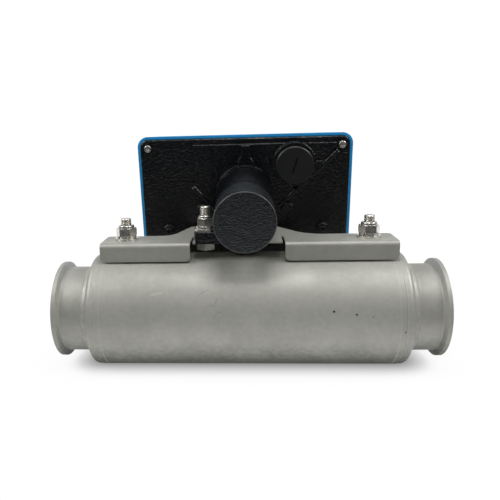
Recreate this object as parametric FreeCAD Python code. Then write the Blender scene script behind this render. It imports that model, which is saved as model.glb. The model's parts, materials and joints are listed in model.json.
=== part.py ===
import FreeCAD, Part
import math
import os

os.makedirs("parts", exist_ok=True)

V = FreeCAD.Vector
AX, AY, AZ = V(1, 0, 0), V(0, 1, 0), V(0, 0, 1)
ORIGIN = V(0, 0, 0)
SIDES = (-1, 1)

# Clearances
SLIP = 0.1            # between pieces that are screwed or slid together
GAP = 0.3             # between pieces that move past each other

# Flow line, along X with its middle at the origin
LENGTH = 355.0
BORE_R = 36.45
LINER_T = 2.5
TUBE_T = 1.55
FERRULE_RISE = 5.0
FERRULE_LAND = 3.6
FERRULE_TAPER = 1.8
FERRULE_TAPER_DROP = 3.4
FERRULE_FILLET = 1.6
FERRULE_LENGTH = 21.5
GASKET_GROOVE_RISE = 2.85
GASKET_GROOVE_SECTION_R = 1.6
SKIN_R = BORE_R + LINER_T
TUBE_R = SKIN_R + TUBE_T
FERRULE_R = TUBE_R + FERRULE_RISE
GASKET_GROOVE_R = SKIN_R + GASKET_GROOVE_RISE

# Coils, pole shoes, yoke and electrodes, one around the other
POLE_T = 1.8
POLE_LIP = 2.0
POLE_CORE = (58.0, 18.0)
CORE_CLEAR = 0.6
COIL_OUTER = (92.0, 56.0)
COIL_T = 4.6
YOKE_OVERHANG = 9.0
YOKE_T = 1.5
YOKE_PORT_R = 8.0
ELECTRODE_HEAD_R = 4.5
ELECTRODE_R = 2.4
ELECTRODE_RECESS = 0.1
BUSH_R = 4.0
BUSH_PROUD = 1.5
ELECTRODE_NUT = (8.0, 3.2)
GROUND_OFFSET = 20.0
LEAD_SPACE = 2.0
LEAD_R = 0.8
LEAD_SPREAD = 4.0
POLE_R = TUBE_R + GAP
COIL_R = POLE_R + POLE_T + GAP
YOKE_R = COIL_R + COIL_T + GAP
YOKE_OUTER_R = YOKE_R + YOKE_T
YOKE_HALF = COIL_OUTER[0] / 2 + YOKE_OVERHANG
ELECTRODE_END = YOKE_OUTER_R - GAP
GROUND_X = -YOKE_HALF - GROUND_OFFSET
LEAD_RING_R = YOKE_OUTER_R + LEAD_SPACE / 2

# Body shell around the coils
SHELL_T = 2.0
SHELL_END_INSET = 41.5
END_CAP_STEP = 0.3
END_CAP_REACH = 9.0
END_CAP_T = 4.0
END_CAP_CORNER_R = 5.0
SHELL_INNER_R = YOKE_OUTER_R + LEAD_SPACE
SHELL_R = SHELL_INNER_R + SHELL_T
SHELL_HALF = LENGTH / 2 - SHELL_END_INSET
END_CAP_R = SHELL_R - END_CAP_STEP
END_CAP_HALF = SHELL_HALF + END_CAP_REACH

# Bracket: folded sheet on two studs
STUD_INSET = 23.0
SHEET_RISE = 12.7
SHEET_T = 2.0
WING_BEYOND = (21.5, 23.0)
TAB_X = (-49.0, 33.0)
TAB_FRONT = -15.5
SLOT_W = 2.2
SLOT_END = 9.0
WING_REAR = 14.5
FLANGE_FRONT = -21.0
FLANGE_DROP = 17.0
FLANGE_CORNER_R = 4.5
BEND_R = 4.0
PLAN_CORNER_R = 3.0
TONGUE_LEFT = ((-82.0, 0.0), (-73.0, 4.1), (-67.6, 12.5))
TONGUE_RIGHT = ((48.2, 15.0), (59.0, 4.4), (78.0, 0.0))
TONGUE_TIP = (-57.0, 28.5)
TONGUE_SETBACK = 2.5
STUD_X = SHELL_HALF - STUD_INSET
SHEET_BOTTOM = SHELL_R + SHEET_RISE
SHEET_TOP = SHEET_BOTTOM + SHEET_T
WING_LEFT = (-STUD_X - WING_BEYOND[0], TAB_X[0] - SLOT_W)
WING_RIGHT = (TAB_X[1] + SLOT_W, STUD_X + WING_BEYOND[1])
FLANGE_BOTTOM = SHEET_TOP - FLANGE_DROP

# Fasteners
STUD_R = 5.0
STUD_PROUD = 6.1
STUD_GRIP = 12.0
STUD_CHAMFER = 0.9
BOSS_R = 10.0
FLAT_WASHER_R = 11.0
FLAT_WASHER_T = 1.8
SPRING_WASHER_R = 9.0
SPRING_WASHER_T = 2.2
LOCKNUT_AF = 17.0
LOCKNUT_T = 7.6
LOCKNUT_COLLAR_R = 7.3
LOCKNUT_COLLAR_T = 2.6
FOOT_BOLT_AT = (-37.3, -7.5)
FOOT_BOLT_R = 5.0
FOOT_BOLT_PROUD = 8.4
FOOT_BOLT_HEAD_AF = 16.0
FOOT_BOLT_HEAD_T = 6.4
FOOT_WASHER_R = 10.0
FOOT_WASHER_T = 2.0
FOOT_SPRING_R = 8.6
FOOT_SPRING_T = 2.4
FOOT_NUT_AF = 14.0
FOOT_NUT_T = 7.4
FOOT_NUT_COLLAR_R = 6.1
FOOT_NUT_COLLAR_T = 2.4
COLLAR_EDGE_R = 1.2

# Conduit between the body and the neck
NIPPLE_AT = (-1.0, 4.0)
NIPPLE_R = 9.8
NIPPLE_BORE_R = 7.0
NIPPLE_DEPTH = 2.5
NIPPLE_RISE = 13.0
NIPPLE_NUT_AF = 27.0
NIPPLE_NUT_T = 4.5

# Transmitter head, built square to its own axes and then tilted about X
HEAD_Y = 62.5
HEAD_TILT = 5.5
HOUSING_HALF = (106.0, 64.2)
HOUSING_MID = (0.0, -8.7)
HOUSING_CORNER_R = 8.0
HOUSING_DEPTH = 14.0
HOUSING_WALL = 5.0
HOUSING_BACK_T = 4.0
HOUSING_EDGE_R = 1.8
SCREW_INSET = (8.0, 8.6)
SCREW_BOSS_R = 5.5
SCREW_R = 2.0
PAN_HEAD = (3.6, 2.2)
PAN_EDGE_R = 0.8
PAN_RECESS = (1.6, 0.5, 1.5)
COVER_SCREW_GRIP = 12.0
COVER_LIP = 3.0
COVER_REAR = 3.0
COVER_FRONT = 62.0
COVER_DRAFT_DROP = 6.7
COVER_POCKET_INSET = (9.5, 9.5)
COVER_POCKET_CORNER_R = 14.0
COVER_WALL = 4.0
COVER_EDGE_R = 4.0
GASKET_T = 1.6
GASKET_INSET = 1.2
GASKET_W = 3.0
COVER_CORNER_R = HOUSING_CORNER_R + COVER_LIP
COVER_POCKET = (HOUSING_HALF[0] - COVER_POCKET_INSET[0], HOUSING_HALF[1] - COVER_POCKET_INSET[1])
HOUSING_TOP = HOUSING_MID[1] + HOUSING_HALF[1]
HOUSING_LOW = HOUSING_MID[1] - HOUSING_HALF[1]

# Relief on the back of the rear housing, its places taken from the tray's edges
PLATFORM_H = 2.0
PLATFORM_X = 52.0
PLATFORM_TOP = HOUSING_TOP - 5.9
PLATFORM = ((-PLATFORM_X, PLATFORM_TOP), (-PLATFORM_X, 7.4), (-24.0, -26.0), (24.0, -26.0),
            (PLATFORM_X, 5.0), (PLATFORM_X, PLATFORM_TOP))
PANEL_H = 1.2
PANEL_TOP = HOUSING_TOP - 6.2
PANEL_LOW = HOUSING_TOP - 24.3
PANEL_RIGHT = HOUSING_HALF[0] - 13.5
PANEL = ((58.0, PANEL_TOP), (PANEL_RIGHT, PANEL_TOP), (PANEL_RIGHT, PANEL_TOP - 5.8),
         (PANEL_RIGHT - 12.2, PANEL_LOW), (66.0, PANEL_LOW))
STRIP_X = (-2.6, 5.2)
STRIP_TOP = HOUSING_TOP - 7.1
STRIP_H = 4.0
STRIP_FLARE = (3.8, 7.0)
LONG_RIB = ((HOUSING_HALF[0] - 12.0, HOUSING_TOP - 14.1), (35.0, -15.2))
SHORT_RIB = ((-53.0, 6.6), (-30.0, -18.5))
RIB_W = 4.4
RIB_H = 4.0
RELIEF_EDGE_R = 0.8
PAD_CENTRE = (HOUSING_HALF[0] - 31.0, HOUSING_TOP - 31.0)
PAD_HALF = (9.0, 6.7)
PAD_CORNER_R = 5.0
PAD_H = 2.4
EAR_BOSS_AT = (44.0, -18.0)
EAR_BOSS_R = 6.5
EAR_BOSS_H = 5.0
LOW_BOSS_AT = (HOUSING_HALF[0] - 25.6, HOUSING_LOW + 33.4)
LOW_BOSS_R = 6.0
LOW_BOSS_H = 5.0
BOSS_SCREW = (2.6, 6.5)
BOSS_SCREW_LENGTH = 5.0
RAIL_X = (HOUSING_HALF[0] - 7.0, HOUSING_HALF[0] - 2.5)
RAIL_H = 1.0
RAIL_LOW = HOUSING_LOW + 14.9
RAIL_SPANS = {-1: (RAIL_LOW, HOUSING_TOP - 72.0), 1: (RAIL_LOW, HOUSING_TOP - 17.0)}

# Service plug on its boss
PLUG_AT = (50.2, 28.8)
PLUG_R = 18.9
PLUG_T = 5.0
PLUG_BEVEL = 1.0
PLUG_BOSS_RIM = 3.3
PLUG_BOSS_H = 8.0
PLUG_SHOULDER = 3.1
PLUG_SHANK = 11.0
PLUG_SHANK_WALL = 3.0
PLUG_SLOT = (15.5, 1.9, 2.2)
PLUG_SLOT_TURN = 18.0
PLUG_BOSS_R = PLUG_R + PLUG_BOSS_RIM
PLUG_SHANK_R = PLUG_R - PLUG_SHOULDER

# Neck and its cap; the head stands just high enough for the neck to clear the sheet
NECK_TIP_R = 26.9
NECK_DRAFT = 1.5
NECK_ROOT_FILLET = 3.5
NECK_LENGTH = 81.0
NECK_WALL = 3.5
NECK_CLEAR = 0.66
CAP_LENGTH = 36.0
CAP_WALL = 2.9
CAP_EDGE_R = 1.4
CAP_FACE_T = 5.0
SPIGOT_LENGTH = 18.0
SEAL_T = 2.2
NECK_ROOT_R = NECK_TIP_R + NECK_DRAFT
SPIGOT_R = NECK_TIP_R - CAP_WALL
NECK_BORE_R = SPIGOT_R - NECK_WALL
CAP_REAR = -NECK_LENGTH
CAP_FRONT = CAP_REAR - CAP_LENGTH
SPIGOT_END = CAP_REAR - SPIGOT_LENGTH
TILT = math.radians(HEAD_TILT)
HEAD_RISE = NECK_CLEAR + NECK_TIP_R * math.cos(TILT) + NECK_LENGTH * math.sin(TILT)
HEAD_AT = V(NIPPLE_AT[0], HEAD_Y, SHEET_TOP + HEAD_RISE)

# Foot under the neck, hooked over the front edge of the sheet
FOOT_X = (-47.5, 20.0)
FOOT_Y = (-18.5, 27.0)
FOOT_H = 9.5
FOOT_CORNER_R = 4.5
FOOT_EDGE_R = 1.2
FOOT_UNDERCUT = (1.2, 1.4)
FOOT_LIP_DROP = SHEET_T - GAP

# Front of the transmitter
WINDOW_AT = (0.0, HOUSING_MID[1] + 14.7)
WINDOW_HALF = (50.0, 27.5)
WINDOW_CORNER_R = 4.0
WINDOW_LEDGE = 3.5
WINDOW_T = 2.4
BUTTON_PITCH = 30.0
BUTTON_COUNT = 4
BUTTON_Z = HOUSING_MID[1] - 33.3
BUTTON_R = 7.0
BUTTON_TRAVEL = 1.5
BUTTON_PROUD = 2.4
BUTTON_EDGE_R = 1.0
BUTTON_FLANGE = (8.6, 1.5)
BUTTON_STEM_R = 2.5
BEZEL_HALF = (62.0, 12.0)
BEZEL_CORNER_R = 5.0
BEZEL_T = 1.0
BOARD_T = 1.6
SWITCH_HALF = 3.0
SWITCH_H = 4.2
SCREEN_HALF = (45.0, 23.0)
DISPLAY_BOARD_INSET = (18.0, 15.2)
DISPLAY_BOARD_SETBACK = 17.6
MAIN_BOARD_INSET = (18.0, 14.2)
MAIN_BOARD_RISE = 4.0
BOARD_POST_INSET = (26.0, 22.0)
BOARD_POST_R = 4.0
BOARD_SCREW_R = 1.5
BOARD_SCREW_HEAD = (2.8, 1.8)
BOARD_SCREW_LENGTH = 6.0
BUTTON_X = tuple(BUTTON_PITCH * (i - (BUTTON_COUNT - 1) / 2) for i in range(BUTTON_COUNT))
DISPLAY_BOARD_HALF = (HOUSING_HALF[0] - DISPLAY_BOARD_INSET[0], HOUSING_HALF[1] - DISPLAY_BOARD_INSET[1])
DISPLAY_BOARD_Y = COVER_FRONT - DISPLAY_BOARD_SETBACK
MAIN_BOARD_HALF = (HOUSING_HALF[0] - MAIN_BOARD_INSET[0], HOUSING_HALF[1] - MAIN_BOARD_INSET[1])
MAIN_BOARD_Y = HOUSING_DEPTH + MAIN_BOARD_RISE

# Tall parts of the main board: left, low, right and top from the board's middle, and height
POST_CLEAR = 8.0
COMPONENT_REACH = HOUSING_HALF[0] - BOARD_POST_INSET[0] - POST_CLEAR
RELAYS = ((-COMPONENT_REACH, 14.7, -38.0, 44.7, 16.0), (-30.0, 18.7, -4.0, 42.7, 15.0))
CHIPS = ((6.0, 20.7, 30.0, 40.7, 9.0), (40.0, 0.7, 54.0, 12.7, 13.0), (-56.0, -25.3, -30.0, -1.3, 8.0))
PLUG_STRIP = (-60.0, -41.3, 60.0, -33.3, 10.0)
CAPACITOR_FIRST = (44.0, 32.7)
CAPACITOR_PITCH = 14.0
CAPACITORS = [(CAPACITOR_FIRST[0] + index * CAPACITOR_PITCH, CAPACITOR_FIRST[1])
              for index in range(1 + int((COMPONENT_REACH - CAPACITOR_FIRST[0]) / CAPACITOR_PITCH + 0.001))]
CAPACITOR_R = 6.0
CAPACITOR_H = 15.0

# Cable entries in the lower wall
ENTRY_INSET = 34.0
ENTRY_BEYOND_TRAY = 20.0
BLANK_X = 0.0
ENTRY_SEAT_DEPTH = 3.0
ENTRY_SEAT_R = 15.0
ENTRY_R = 10.0
GLAND_HEX_AF = 24.0
GLAND_HEX_T = 6.0
GLAND_WALL = 3.3
GLAND_THROAT = 6.0
GLAND_NUT_R = 11.0
GLAND_NUT_T = 16.0
GLAND_DOME_R = 4.0
GLAND_NUT_WALL = 2.4
CABLE_R = 4.5
CABLE_CLEAR = 1.0
SEAL_LENGTH = 13.0
BLANK_HEAD_T = 5.0
BLANK_WALL = 3.9
THREAD_PROUD = 1.5
ENTRY_X = (ENTRY_INSET - HOUSING_HALF[0], HOUSING_HALF[0] - ENTRY_INSET)
ENTRY_Y = HOUSING_DEPTH + ENTRY_BEYOND_TRAY
ENTRY_SEAT = HOUSING_LOW - ENTRY_SEAT_DEPTH
ENTRY_INNER = HOUSING_MID[1] - COVER_POCKET[1]
GLAND_BORE_R = ENTRY_R - SLIP - GLAND_WALL

# Terminal block in the neck, and the loom that comes up to it
TERMINAL_SIZE = (30.0, 16.0, 13.0)
TERMINAL_SETBACK = 5.0
TERMINAL_COUNT = 5
TERMINAL_WELL = (2.2, 3.0)
TERMINAL_SCREW = (2.0, 1.5)
TERMINAL_BASE_T = 3.0
LOOM_R = 3.0
LOOM_TURN_RISE = 16.0
LOOM_BEND_R = 9.0
LOOM_REACH = 12.0
TERMINAL_Y = SPIGOT_END + TERMINAL_SETBACK


def corner_points(half_x, half_z):
    """Four points, one in each corner of the head."""
    return [(HOUSING_MID[0] + sx * half_x, HOUSING_MID[1] + sz * half_z) for sx in SIDES for sz in SIDES]


SCREW_POINTS = corner_points(HOUSING_HALF[0] - SCREW_INSET[0], HOUSING_HALF[1] - SCREW_INSET[1])
POST_POINTS = corner_points(HOUSING_HALF[0] - BOARD_POST_INSET[0], HOUSING_HALF[1] - BOARD_POST_INSET[1])


def save(name, *solids):
    """Write one node."""
    shape = solids[0] if len(solids) == 1 else Part.makeCompound(list(solids))
    shape.exportStep("parts/%s.step" % name)


def rod(radius, start, end, axis=AX, at=ORIGIN):
    """A cylinder from start to end along an axis that passes through a point."""
    base = at + V(axis).multiply(start)
    return Part.makeCylinder(radius, end - start, base, axis)


def ring(outer, inner, start, end, axis=AX, at=ORIGIN):
    """A tube from start to end along an axis."""
    return rod(outer, start, end, axis, at).cut(rod(inner, start, end, axis, at))


def spin(edges, axis=AX, at=ORIGIN):
    """A full turn of a closed outline."""
    return Part.Face(Part.Wire(edges)).revolve(at, axis, 360)


def line(a, b):
    """A straight edge."""
    return Part.makeLine(V(*a), V(*b))


def arc(a, middle, b):
    """A round edge through three points."""
    return Part.Arc(V(*a), V(*middle), V(*b)).toShape()


def arc_middle(centre, radius, degrees):
    """The point of a circle in the XY plane at an angle."""
    turn = math.radians(degrees)
    return (centre[0] + radius * math.cos(turn), centre[1] + radius * math.sin(turn), 0)


def hexagon(flats, start, end, axis=AZ, at=ORIGIN, chamfer=True):
    """A hexagon prism with its corners turned down at both ends."""
    corner = flats / math.sqrt(3)
    points = [V(corner * math.cos(math.radians(a)), corner * math.sin(math.radians(a)), 0)
              for a in range(0, 361, 60)]
    prism = Part.Face(Part.makePolygon(points)).extrude(V(0, 0, end - start))
    if chamfer:
        prism = prism.common(barrel(corner, flats / 2, end - start))
    prism.Placement = FreeCAD.Placement(at + V(axis).multiply(start), FreeCAD.Rotation(AZ, axis))
    return prism


def barrel(corner, flat, height):
    """A cylinder with both ends bevelled at 30 degrees, for turning down a hexagon."""
    drop = (corner - flat) * math.tan(math.radians(30))
    outline = [(0, 0, 0), (flat, 0, 0), (corner, 0, drop), (corner, 0, height - drop),
               (flat, 0, height), (0, 0, height), (0, 0, 0)]
    return Part.Face(Part.makePolygon([V(*p) for p in outline])).revolve(ORIGIN, AZ, 360)


def rounded_wire(half_x, half_z, radius, y, centre=(0.0, 0.0)):
    """A rounded rectangle in a plane square to Y."""
    cx, cz = centre
    inset_x, inset_z = half_x - radius, half_z - radius
    diagonal = radius * math.sqrt(0.5)
    edges = []
    for sx, sz in ((1, 1), (-1, 1), (-1, -1), (1, -1)):
        start = (cx + sx * half_x, y, cz + sz * inset_z)
        end = (cx + sx * inset_x, y, cz + sz * half_z)
        middle = (cx + sx * (inset_x + diagonal), y, cz + sz * (inset_z + diagonal))
        edges.append(arc(start, middle, end) if sx * sz > 0 else arc(end, middle, start))
    joined = []
    for index, edge in enumerate(edges):
        after = edges[(index + 1) % 4]
        joined.append(edge)
        joined.append(Part.makeLine(edge.lastVertex(True).Point, after.firstVertex(True).Point))
    return Part.Wire(Part.__sortEdges__(joined))


def rounded_slab(half, radius, start, end, centre=(0.0, 0.0)):
    """A rounded plate between two planes square to Y."""
    face = Part.Face(rounded_wire(half[0], half[1], radius, start, centre))
    return face.extrude(V(0, end - start, 0))


def slab(xs, ys, zs):
    """A box between two corners."""
    return Part.makeBox(xs[1] - xs[0], ys[1] - ys[0], zs[1] - zs[0], V(xs[0], ys[0], zs[0]))


def head(shape):
    """Tilt and place a transmitter piece."""
    placed = shape.copy()
    placed.rotate(ORIGIN, AX, HEAD_TILT)
    placed.translate(HEAD_AT)
    return placed


def outline_prism(points, start, end):
    """A prism of a plan in XZ between two planes square to Y."""
    corners = [V(x, start, z) for x, z in points]
    face = Part.Face(Part.makePolygon(corners + [corners[0]]))
    return face.extrude(V(0, end - start, 0))


# ---- flow line ----

def ferrule(side):
    """A clamp ferrule: land, turned-down back, fillet and tube, with a gasket groove in its face."""
    face = LENGTH / 2
    back = face - FERRULE_LAND
    neck = back - FERRULE_TAPER
    low = FERRULE_R - FERRULE_TAPER_DROP
    foot = neck - FERRULE_FILLET
    end = face - FERRULE_LENGTH
    middle = (neck - FERRULE_FILLET * math.sqrt(0.5) * 0.42, TUBE_R + (low - TUBE_R) * 0.30, 0)
    edges = [line((face, SKIN_R, 0), (face, FERRULE_R, 0)),
             line((face, FERRULE_R, 0), (back, FERRULE_R, 0)),
             line((back, FERRULE_R, 0), (neck, low, 0)),
             arc((neck, low, 0), middle, (foot, TUBE_R, 0)),
             line((foot, TUBE_R, 0), (end, TUBE_R, 0)),
             line((end, TUBE_R, 0), (end, SKIN_R, 0)),
             line((end, SKIN_R, 0), (face, SKIN_R, 0))]
    groove = Part.makeTorus(GASKET_GROOVE_R, GASKET_GROOVE_SECTION_R, V(face, 0, 0), AX)
    turned = spin(edges).cut(groove)
    return turned if side > 0 else turned.mirror(ORIGIN, AX)


def electrode_bores(radius):
    """The three holes through the measuring section, for the electrodes."""
    reach, start = SHELL_R, BORE_R / 2
    holes = [rod(radius, -reach, -start, AY), rod(radius, start, reach, AY)]
    holes.append(rod(radius, -reach, -start, AZ, V(GROUND_X, 0, 0)))
    return Part.makeCompound(holes)


def measuring_tube():
    """The plain tube between the ferrules."""
    end = LENGTH / 2 - FERRULE_LENGTH
    return ring(TUBE_R, SKIN_R, -end, end).cut(electrode_bores(BUSH_R))


def liner():
    """The lining, flush with both ferrule faces."""
    sleeve = ring(SKIN_R, BORE_R, -LENGTH / 2, LENGTH / 2)
    return sleeve.cut(electrode_bores(ELECTRODE_HEAD_R))


def end_cap(side):
    """A dished end of the body, with a rounded corner, around the tube."""
    corner = END_CAP_HALF - END_CAP_CORNER_R
    flat = END_CAP_R - END_CAP_CORNER_R
    inner = END_CAP_HALF - END_CAP_T
    wall = END_CAP_R - SHELL_T
    middle = arc_middle((corner, flat), END_CAP_CORNER_R, 45)
    edges = [line((END_CAP_HALF, TUBE_R, 0), (END_CAP_HALF, flat, 0)),
             arc((END_CAP_HALF, flat, 0), middle, (corner, END_CAP_R, 0)),
             line((corner, END_CAP_R, 0), (SHELL_HALF, END_CAP_R, 0)),
             line((SHELL_HALF, END_CAP_R, 0), (SHELL_HALF, wall, 0)),
             line((SHELL_HALF, wall, 0), (inner, wall, 0)),
             line((inner, wall, 0), (inner, TUBE_R, 0)),
             line((inner, TUBE_R, 0), (END_CAP_HALF, TUBE_R, 0))]
    dish = spin(edges)
    return dish if side > 0 else dish.mirror(ORIGIN, AX)


def body_shell():
    """The rolled shell, with the hole that the conduit stands in."""
    shell = ring(SHELL_R, SHELL_INNER_R, -SHELL_HALF, SHELL_HALF)
    return shell.cut(rod(NIPPLE_R, TUBE_R, SHEET_TOP, AZ, V(*NIPPLE_AT, 0)))


# ---- coils and electrodes ----

def race_prism(size):
    """A round-cornered column along Z, for cutting saddle shapes out of tubes."""
    half = (size[0] / 2, size[1] / 2)
    column = rounded_slab(half, min(half) * 0.45, 0, SHEET_TOP)
    column.rotate(ORIGIN, AX, 90)
    return column


def saddle(inner, outer, size, side):
    """The part of a tube that lies over a round-cornered rectangle."""
    shell = ring(outer, inner, -size[0], size[0])
    piece = shell.common(race_prism(size))
    return piece if side > 0 else piece.mirror(ORIGIN, AZ)


def pole_shoe(side):
    """A curved shoe with the core that its coil sits around."""
    area = (COIL_OUTER[0] + 2 * POLE_LIP, COIL_OUTER[1] + 2 * POLE_LIP)
    shoe = saddle(POLE_R, POLE_R + POLE_T, area, side)
    core = saddle(POLE_R, YOKE_R - SLIP, POLE_CORE, side)
    return shoe.fuse(core)


def coil(side):
    """A saddle winding around its pole core."""
    window = (POLE_CORE[0] + 2 * CORE_CLEAR, POLE_CORE[1] + 2 * CORE_CLEAR)
    winding = saddle(COIL_R, COIL_R + COIL_T, COIL_OUTER, side)
    return winding.cut(saddle(POLE_R, YOKE_R, window, side))


def return_yoke():
    """The sheet that closes the magnetic path, open at the electrodes."""
    yoke = ring(YOKE_OUTER_R, YOKE_R, -YOKE_HALF, YOKE_HALF)
    return yoke.cut(rod(YOKE_PORT_R, -SHELL_R, SHELL_R, AY))


def electrode(axis, at=ORIGIN):
    """An electrode set just below the bore: head in the liner, stem through the tube."""
    flush = math.sqrt(BORE_R ** 2 - ELECTRODE_HEAD_R ** 2)
    pin = rod(ELECTRODE_HEAD_R - SLIP, flush, SKIN_R - GAP, axis, at)
    pin = pin.cut(rod(BORE_R + ELECTRODE_RECESS, -BORE_R, BORE_R, AX, at))
    return pin.fuse(rod(ELECTRODE_R, SKIN_R - LINER_T / 2, ELECTRODE_END, axis, at))


def electrode_bush(axis, at=ORIGIN):
    """The insulating sleeve around an electrode stem."""
    return ring(BUSH_R - SLIP, ELECTRODE_R + SLIP, SKIN_R + SLIP, TUBE_R + BUSH_PROUD, axis, at)


def electrode_nut(axis, at=ORIGIN):
    """The nut that draws an electrode outwards."""
    flats, height = ELECTRODE_NUT
    base = TUBE_R + BUSH_PROUD + SLIP
    return hexagon(flats, base, base + height, axis, at).cut(rod(ELECTRODE_R + SLIP, base, SHELL_R, axis, at))


def electrode_leads():
    """Two leads between the yoke and the shell, from the conduit to the electrodes."""
    turn = Part.makeTorus(LEAD_RING_R, LEAD_R, ORIGIN, AX)
    spans = ((-SHELL_R, -LEAD_SPREAD), (LEAD_SPREAD, SHELL_R))
    return [turn.common(slab((-LEAD_R, LEAD_R), span, (ELECTRODE_R + SLIP, SHELL_R))) for span in spans]


# ---- bracket and its fasteners ----

def flat_piece(points_edges):
    """A piece of the sheet from a closed plan at the sheet's lower face."""
    face = Part.Face(Part.Wire(Part.__sortEdges__(points_edges)))
    return face.extrude(V(0, 0, SHEET_T))


def plan(x, y):
    """A plan point on the lower face of the sheet."""
    return (x, y, SHEET_BOTTOM)


def bracket_plan():
    """The flat part: two wings, the middle tab and the flared tongue behind them."""
    left, right = WING_LEFT[0], WING_RIGHT[1]
    bend = FLANGE_FRONT + BEND_R
    rear = HEAD_Y - TONGUE_SETBACK
    corner = PLAN_CORNER_R
    k = corner * (1 - math.sqrt(0.5))
    west = [plan(x, WING_REAR + rise) for x, rise in TONGUE_LEFT]
    east = [plan(x, WING_REAR + rise) for x, rise in TONGUE_RIGHT]
    edges = [
        line(plan(left, bend), plan(left, WING_REAR - corner)),
        arc(plan(left, WING_REAR - corner), plan(left + k, WING_REAR - k), plan(left + corner, WING_REAR)),
        line(plan(left + corner, WING_REAR), west[0]),
        arc(*west),
        line(west[2], plan(TONGUE_TIP[0], rear)),
        line(plan(TONGUE_TIP[0], rear), plan(TONGUE_TIP[1], rear)),
        line(plan(TONGUE_TIP[1], rear), east[0]),
        arc(*east),
        line(east[2], plan(right - corner, WING_REAR)),
        arc(plan(right - corner, WING_REAR), plan(right - k, WING_REAR - k), plan(right, WING_REAR - corner)),
        line(plan(right, WING_REAR - corner), plan(right, bend)),
        line(plan(right, bend), plan(left, bend)),
    ]
    return flat_piece(edges)


def bracket_slots():
    """What is cut away to part the tab from the two folded wings: two slots and the front of the tab."""
    levels = (SHEET_BOTTOM - 1, SHEET_TOP + 1)
    ends = (FLANGE_FRONT, SLOT_END)
    slots = [slab((WING_LEFT[1], TAB_X[0]), ends, levels), slab((TAB_X[1], WING_RIGHT[0]), ends, levels)]
    return slots + [slab((WING_LEFT[1], WING_RIGHT[0]), (FLANGE_FRONT, TAB_FRONT), levels)]


def flange(span):
    """One folded wing edge: the bend and the flange below it."""
    inner = BEND_R - SHEET_T
    level = SHEET_TOP - BEND_R
    y_in = FLANGE_FRONT + BEND_R
    bend = ring(BEND_R, inner, span[0], span[1], AX, V(0, y_in, level))
    bend = bend.common(slab(span, (FLANGE_FRONT, y_in), (level, SHEET_TOP)))
    centre = ((span[0] + span[1]) / 2, level)
    half = ((span[1] - span[0]) / 2, level - FLANGE_BOTTOM)
    face = rounded_slab(half, FLANGE_CORNER_R, FLANGE_FRONT, FLANGE_FRONT + SHEET_T, centre)
    face = face.common(slab(span, (FLANGE_FRONT, y_in), (FLANGE_BOTTOM, level)))
    return bend.fuse(face)


def bracket():
    """The folded sheet with its holes."""
    sheet = bracket_plan().cut(Part.makeCompound(bracket_slots()))
    sheet = sheet.fuse([flange(WING_LEFT), flange(WING_RIGHT)])
    holes = [rod(STUD_R + GAP, SHEET_BOTTOM - 1, SHEET_TOP + 1, AZ, V(s * STUD_X, 0, 0)) for s in SIDES]
    holes.append(rod(FOOT_BOLT_R + GAP, SHEET_BOTTOM - 1, SHEET_TOP + 1, AZ, V(*FOOT_BOLT_AT, 0)))
    holes.append(rod(NIPPLE_R + GAP, SHEET_BOTTOM - 1, SHEET_TOP + 1, AZ, V(*NIPPLE_AT, 0)))
    return sheet.cut(Part.makeCompound(holes)).removeSplitter()


def stud_boss(side):
    """A spacer welded on the shell, holding a stud and carrying the sheet."""
    at = V(side * STUD_X, 0, 0)
    boss = rod(BOSS_R, SHELL_INNER_R, SHEET_BOTTOM, AZ, at)
    boss = boss.cut(rod(SHELL_R, -SHELL_HALF, SHELL_HALF))
    return boss.cut(rod(STUD_R, SHEET_BOTTOM - STUD_GRIP, SHEET_BOTTOM, AZ, at))


def chamfered_rod(radius, start, end, chamfer, at):
    """A stud with a turned-down tip."""
    tip = Part.makeCone(radius, radius - chamfer, chamfer, at + V(0, 0, end - chamfer), AZ)
    return rod(radius, start, end - chamfer, AZ, at).fuse(tip).removeSplitter()


def stud(side):
    """A threaded stud."""
    top = SHEET_TOP + FLAT_WASHER_T + SPRING_WASHER_T + LOCKNUT_T + LOCKNUT_COLLAR_T + STUD_PROUD
    return chamfered_rod(STUD_R, SHEET_BOTTOM - STUD_GRIP, top, STUD_CHAMFER, V(side * STUD_X, 0, 0))


def split_washer(outer, inner, base, thickness, at):
    """A spring washer with its cut."""
    washer = ring(outer, inner, base, base + thickness, AZ, at)
    cut = slab((0, outer + 1), (-0.6, 0.6), (base - 1, base + thickness + 1))
    cut.rotate(ORIGIN, AZ, 230)
    cut.translate(V(at.x, at.y, 0))
    return washer.cut(cut)


def collared_nut(flats, height, collar_r, collar_t, base, at):
    """A hexagon locknut with a round collar on top."""
    nut = hexagon(flats, base, base + height, AZ, at)
    top = base + height + collar_t
    collar = rod(collar_r, top - collar_t - COLLAR_EDGE_R, top, AZ, at)
    rim = [e for e in collar.Edges if e.BoundBox.ZMin > top - SLIP and e.BoundBox.XLength > collar_r]
    return nut.fuse(collar.makeFillet(COLLAR_EDGE_R, rim))


def locknut(side):
    """The locknut on a stud."""
    at = V(side * STUD_X, 0, 0)
    base = SHEET_TOP + FLAT_WASHER_T + SPRING_WASHER_T
    nut = collared_nut(LOCKNUT_AF, LOCKNUT_T, LOCKNUT_COLLAR_R, LOCKNUT_COLLAR_T, base, at)
    return nut.cut(rod(STUD_R + SLIP / 2, SHEET_TOP, base + 2 * LOCKNUT_T, AZ, at))


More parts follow.
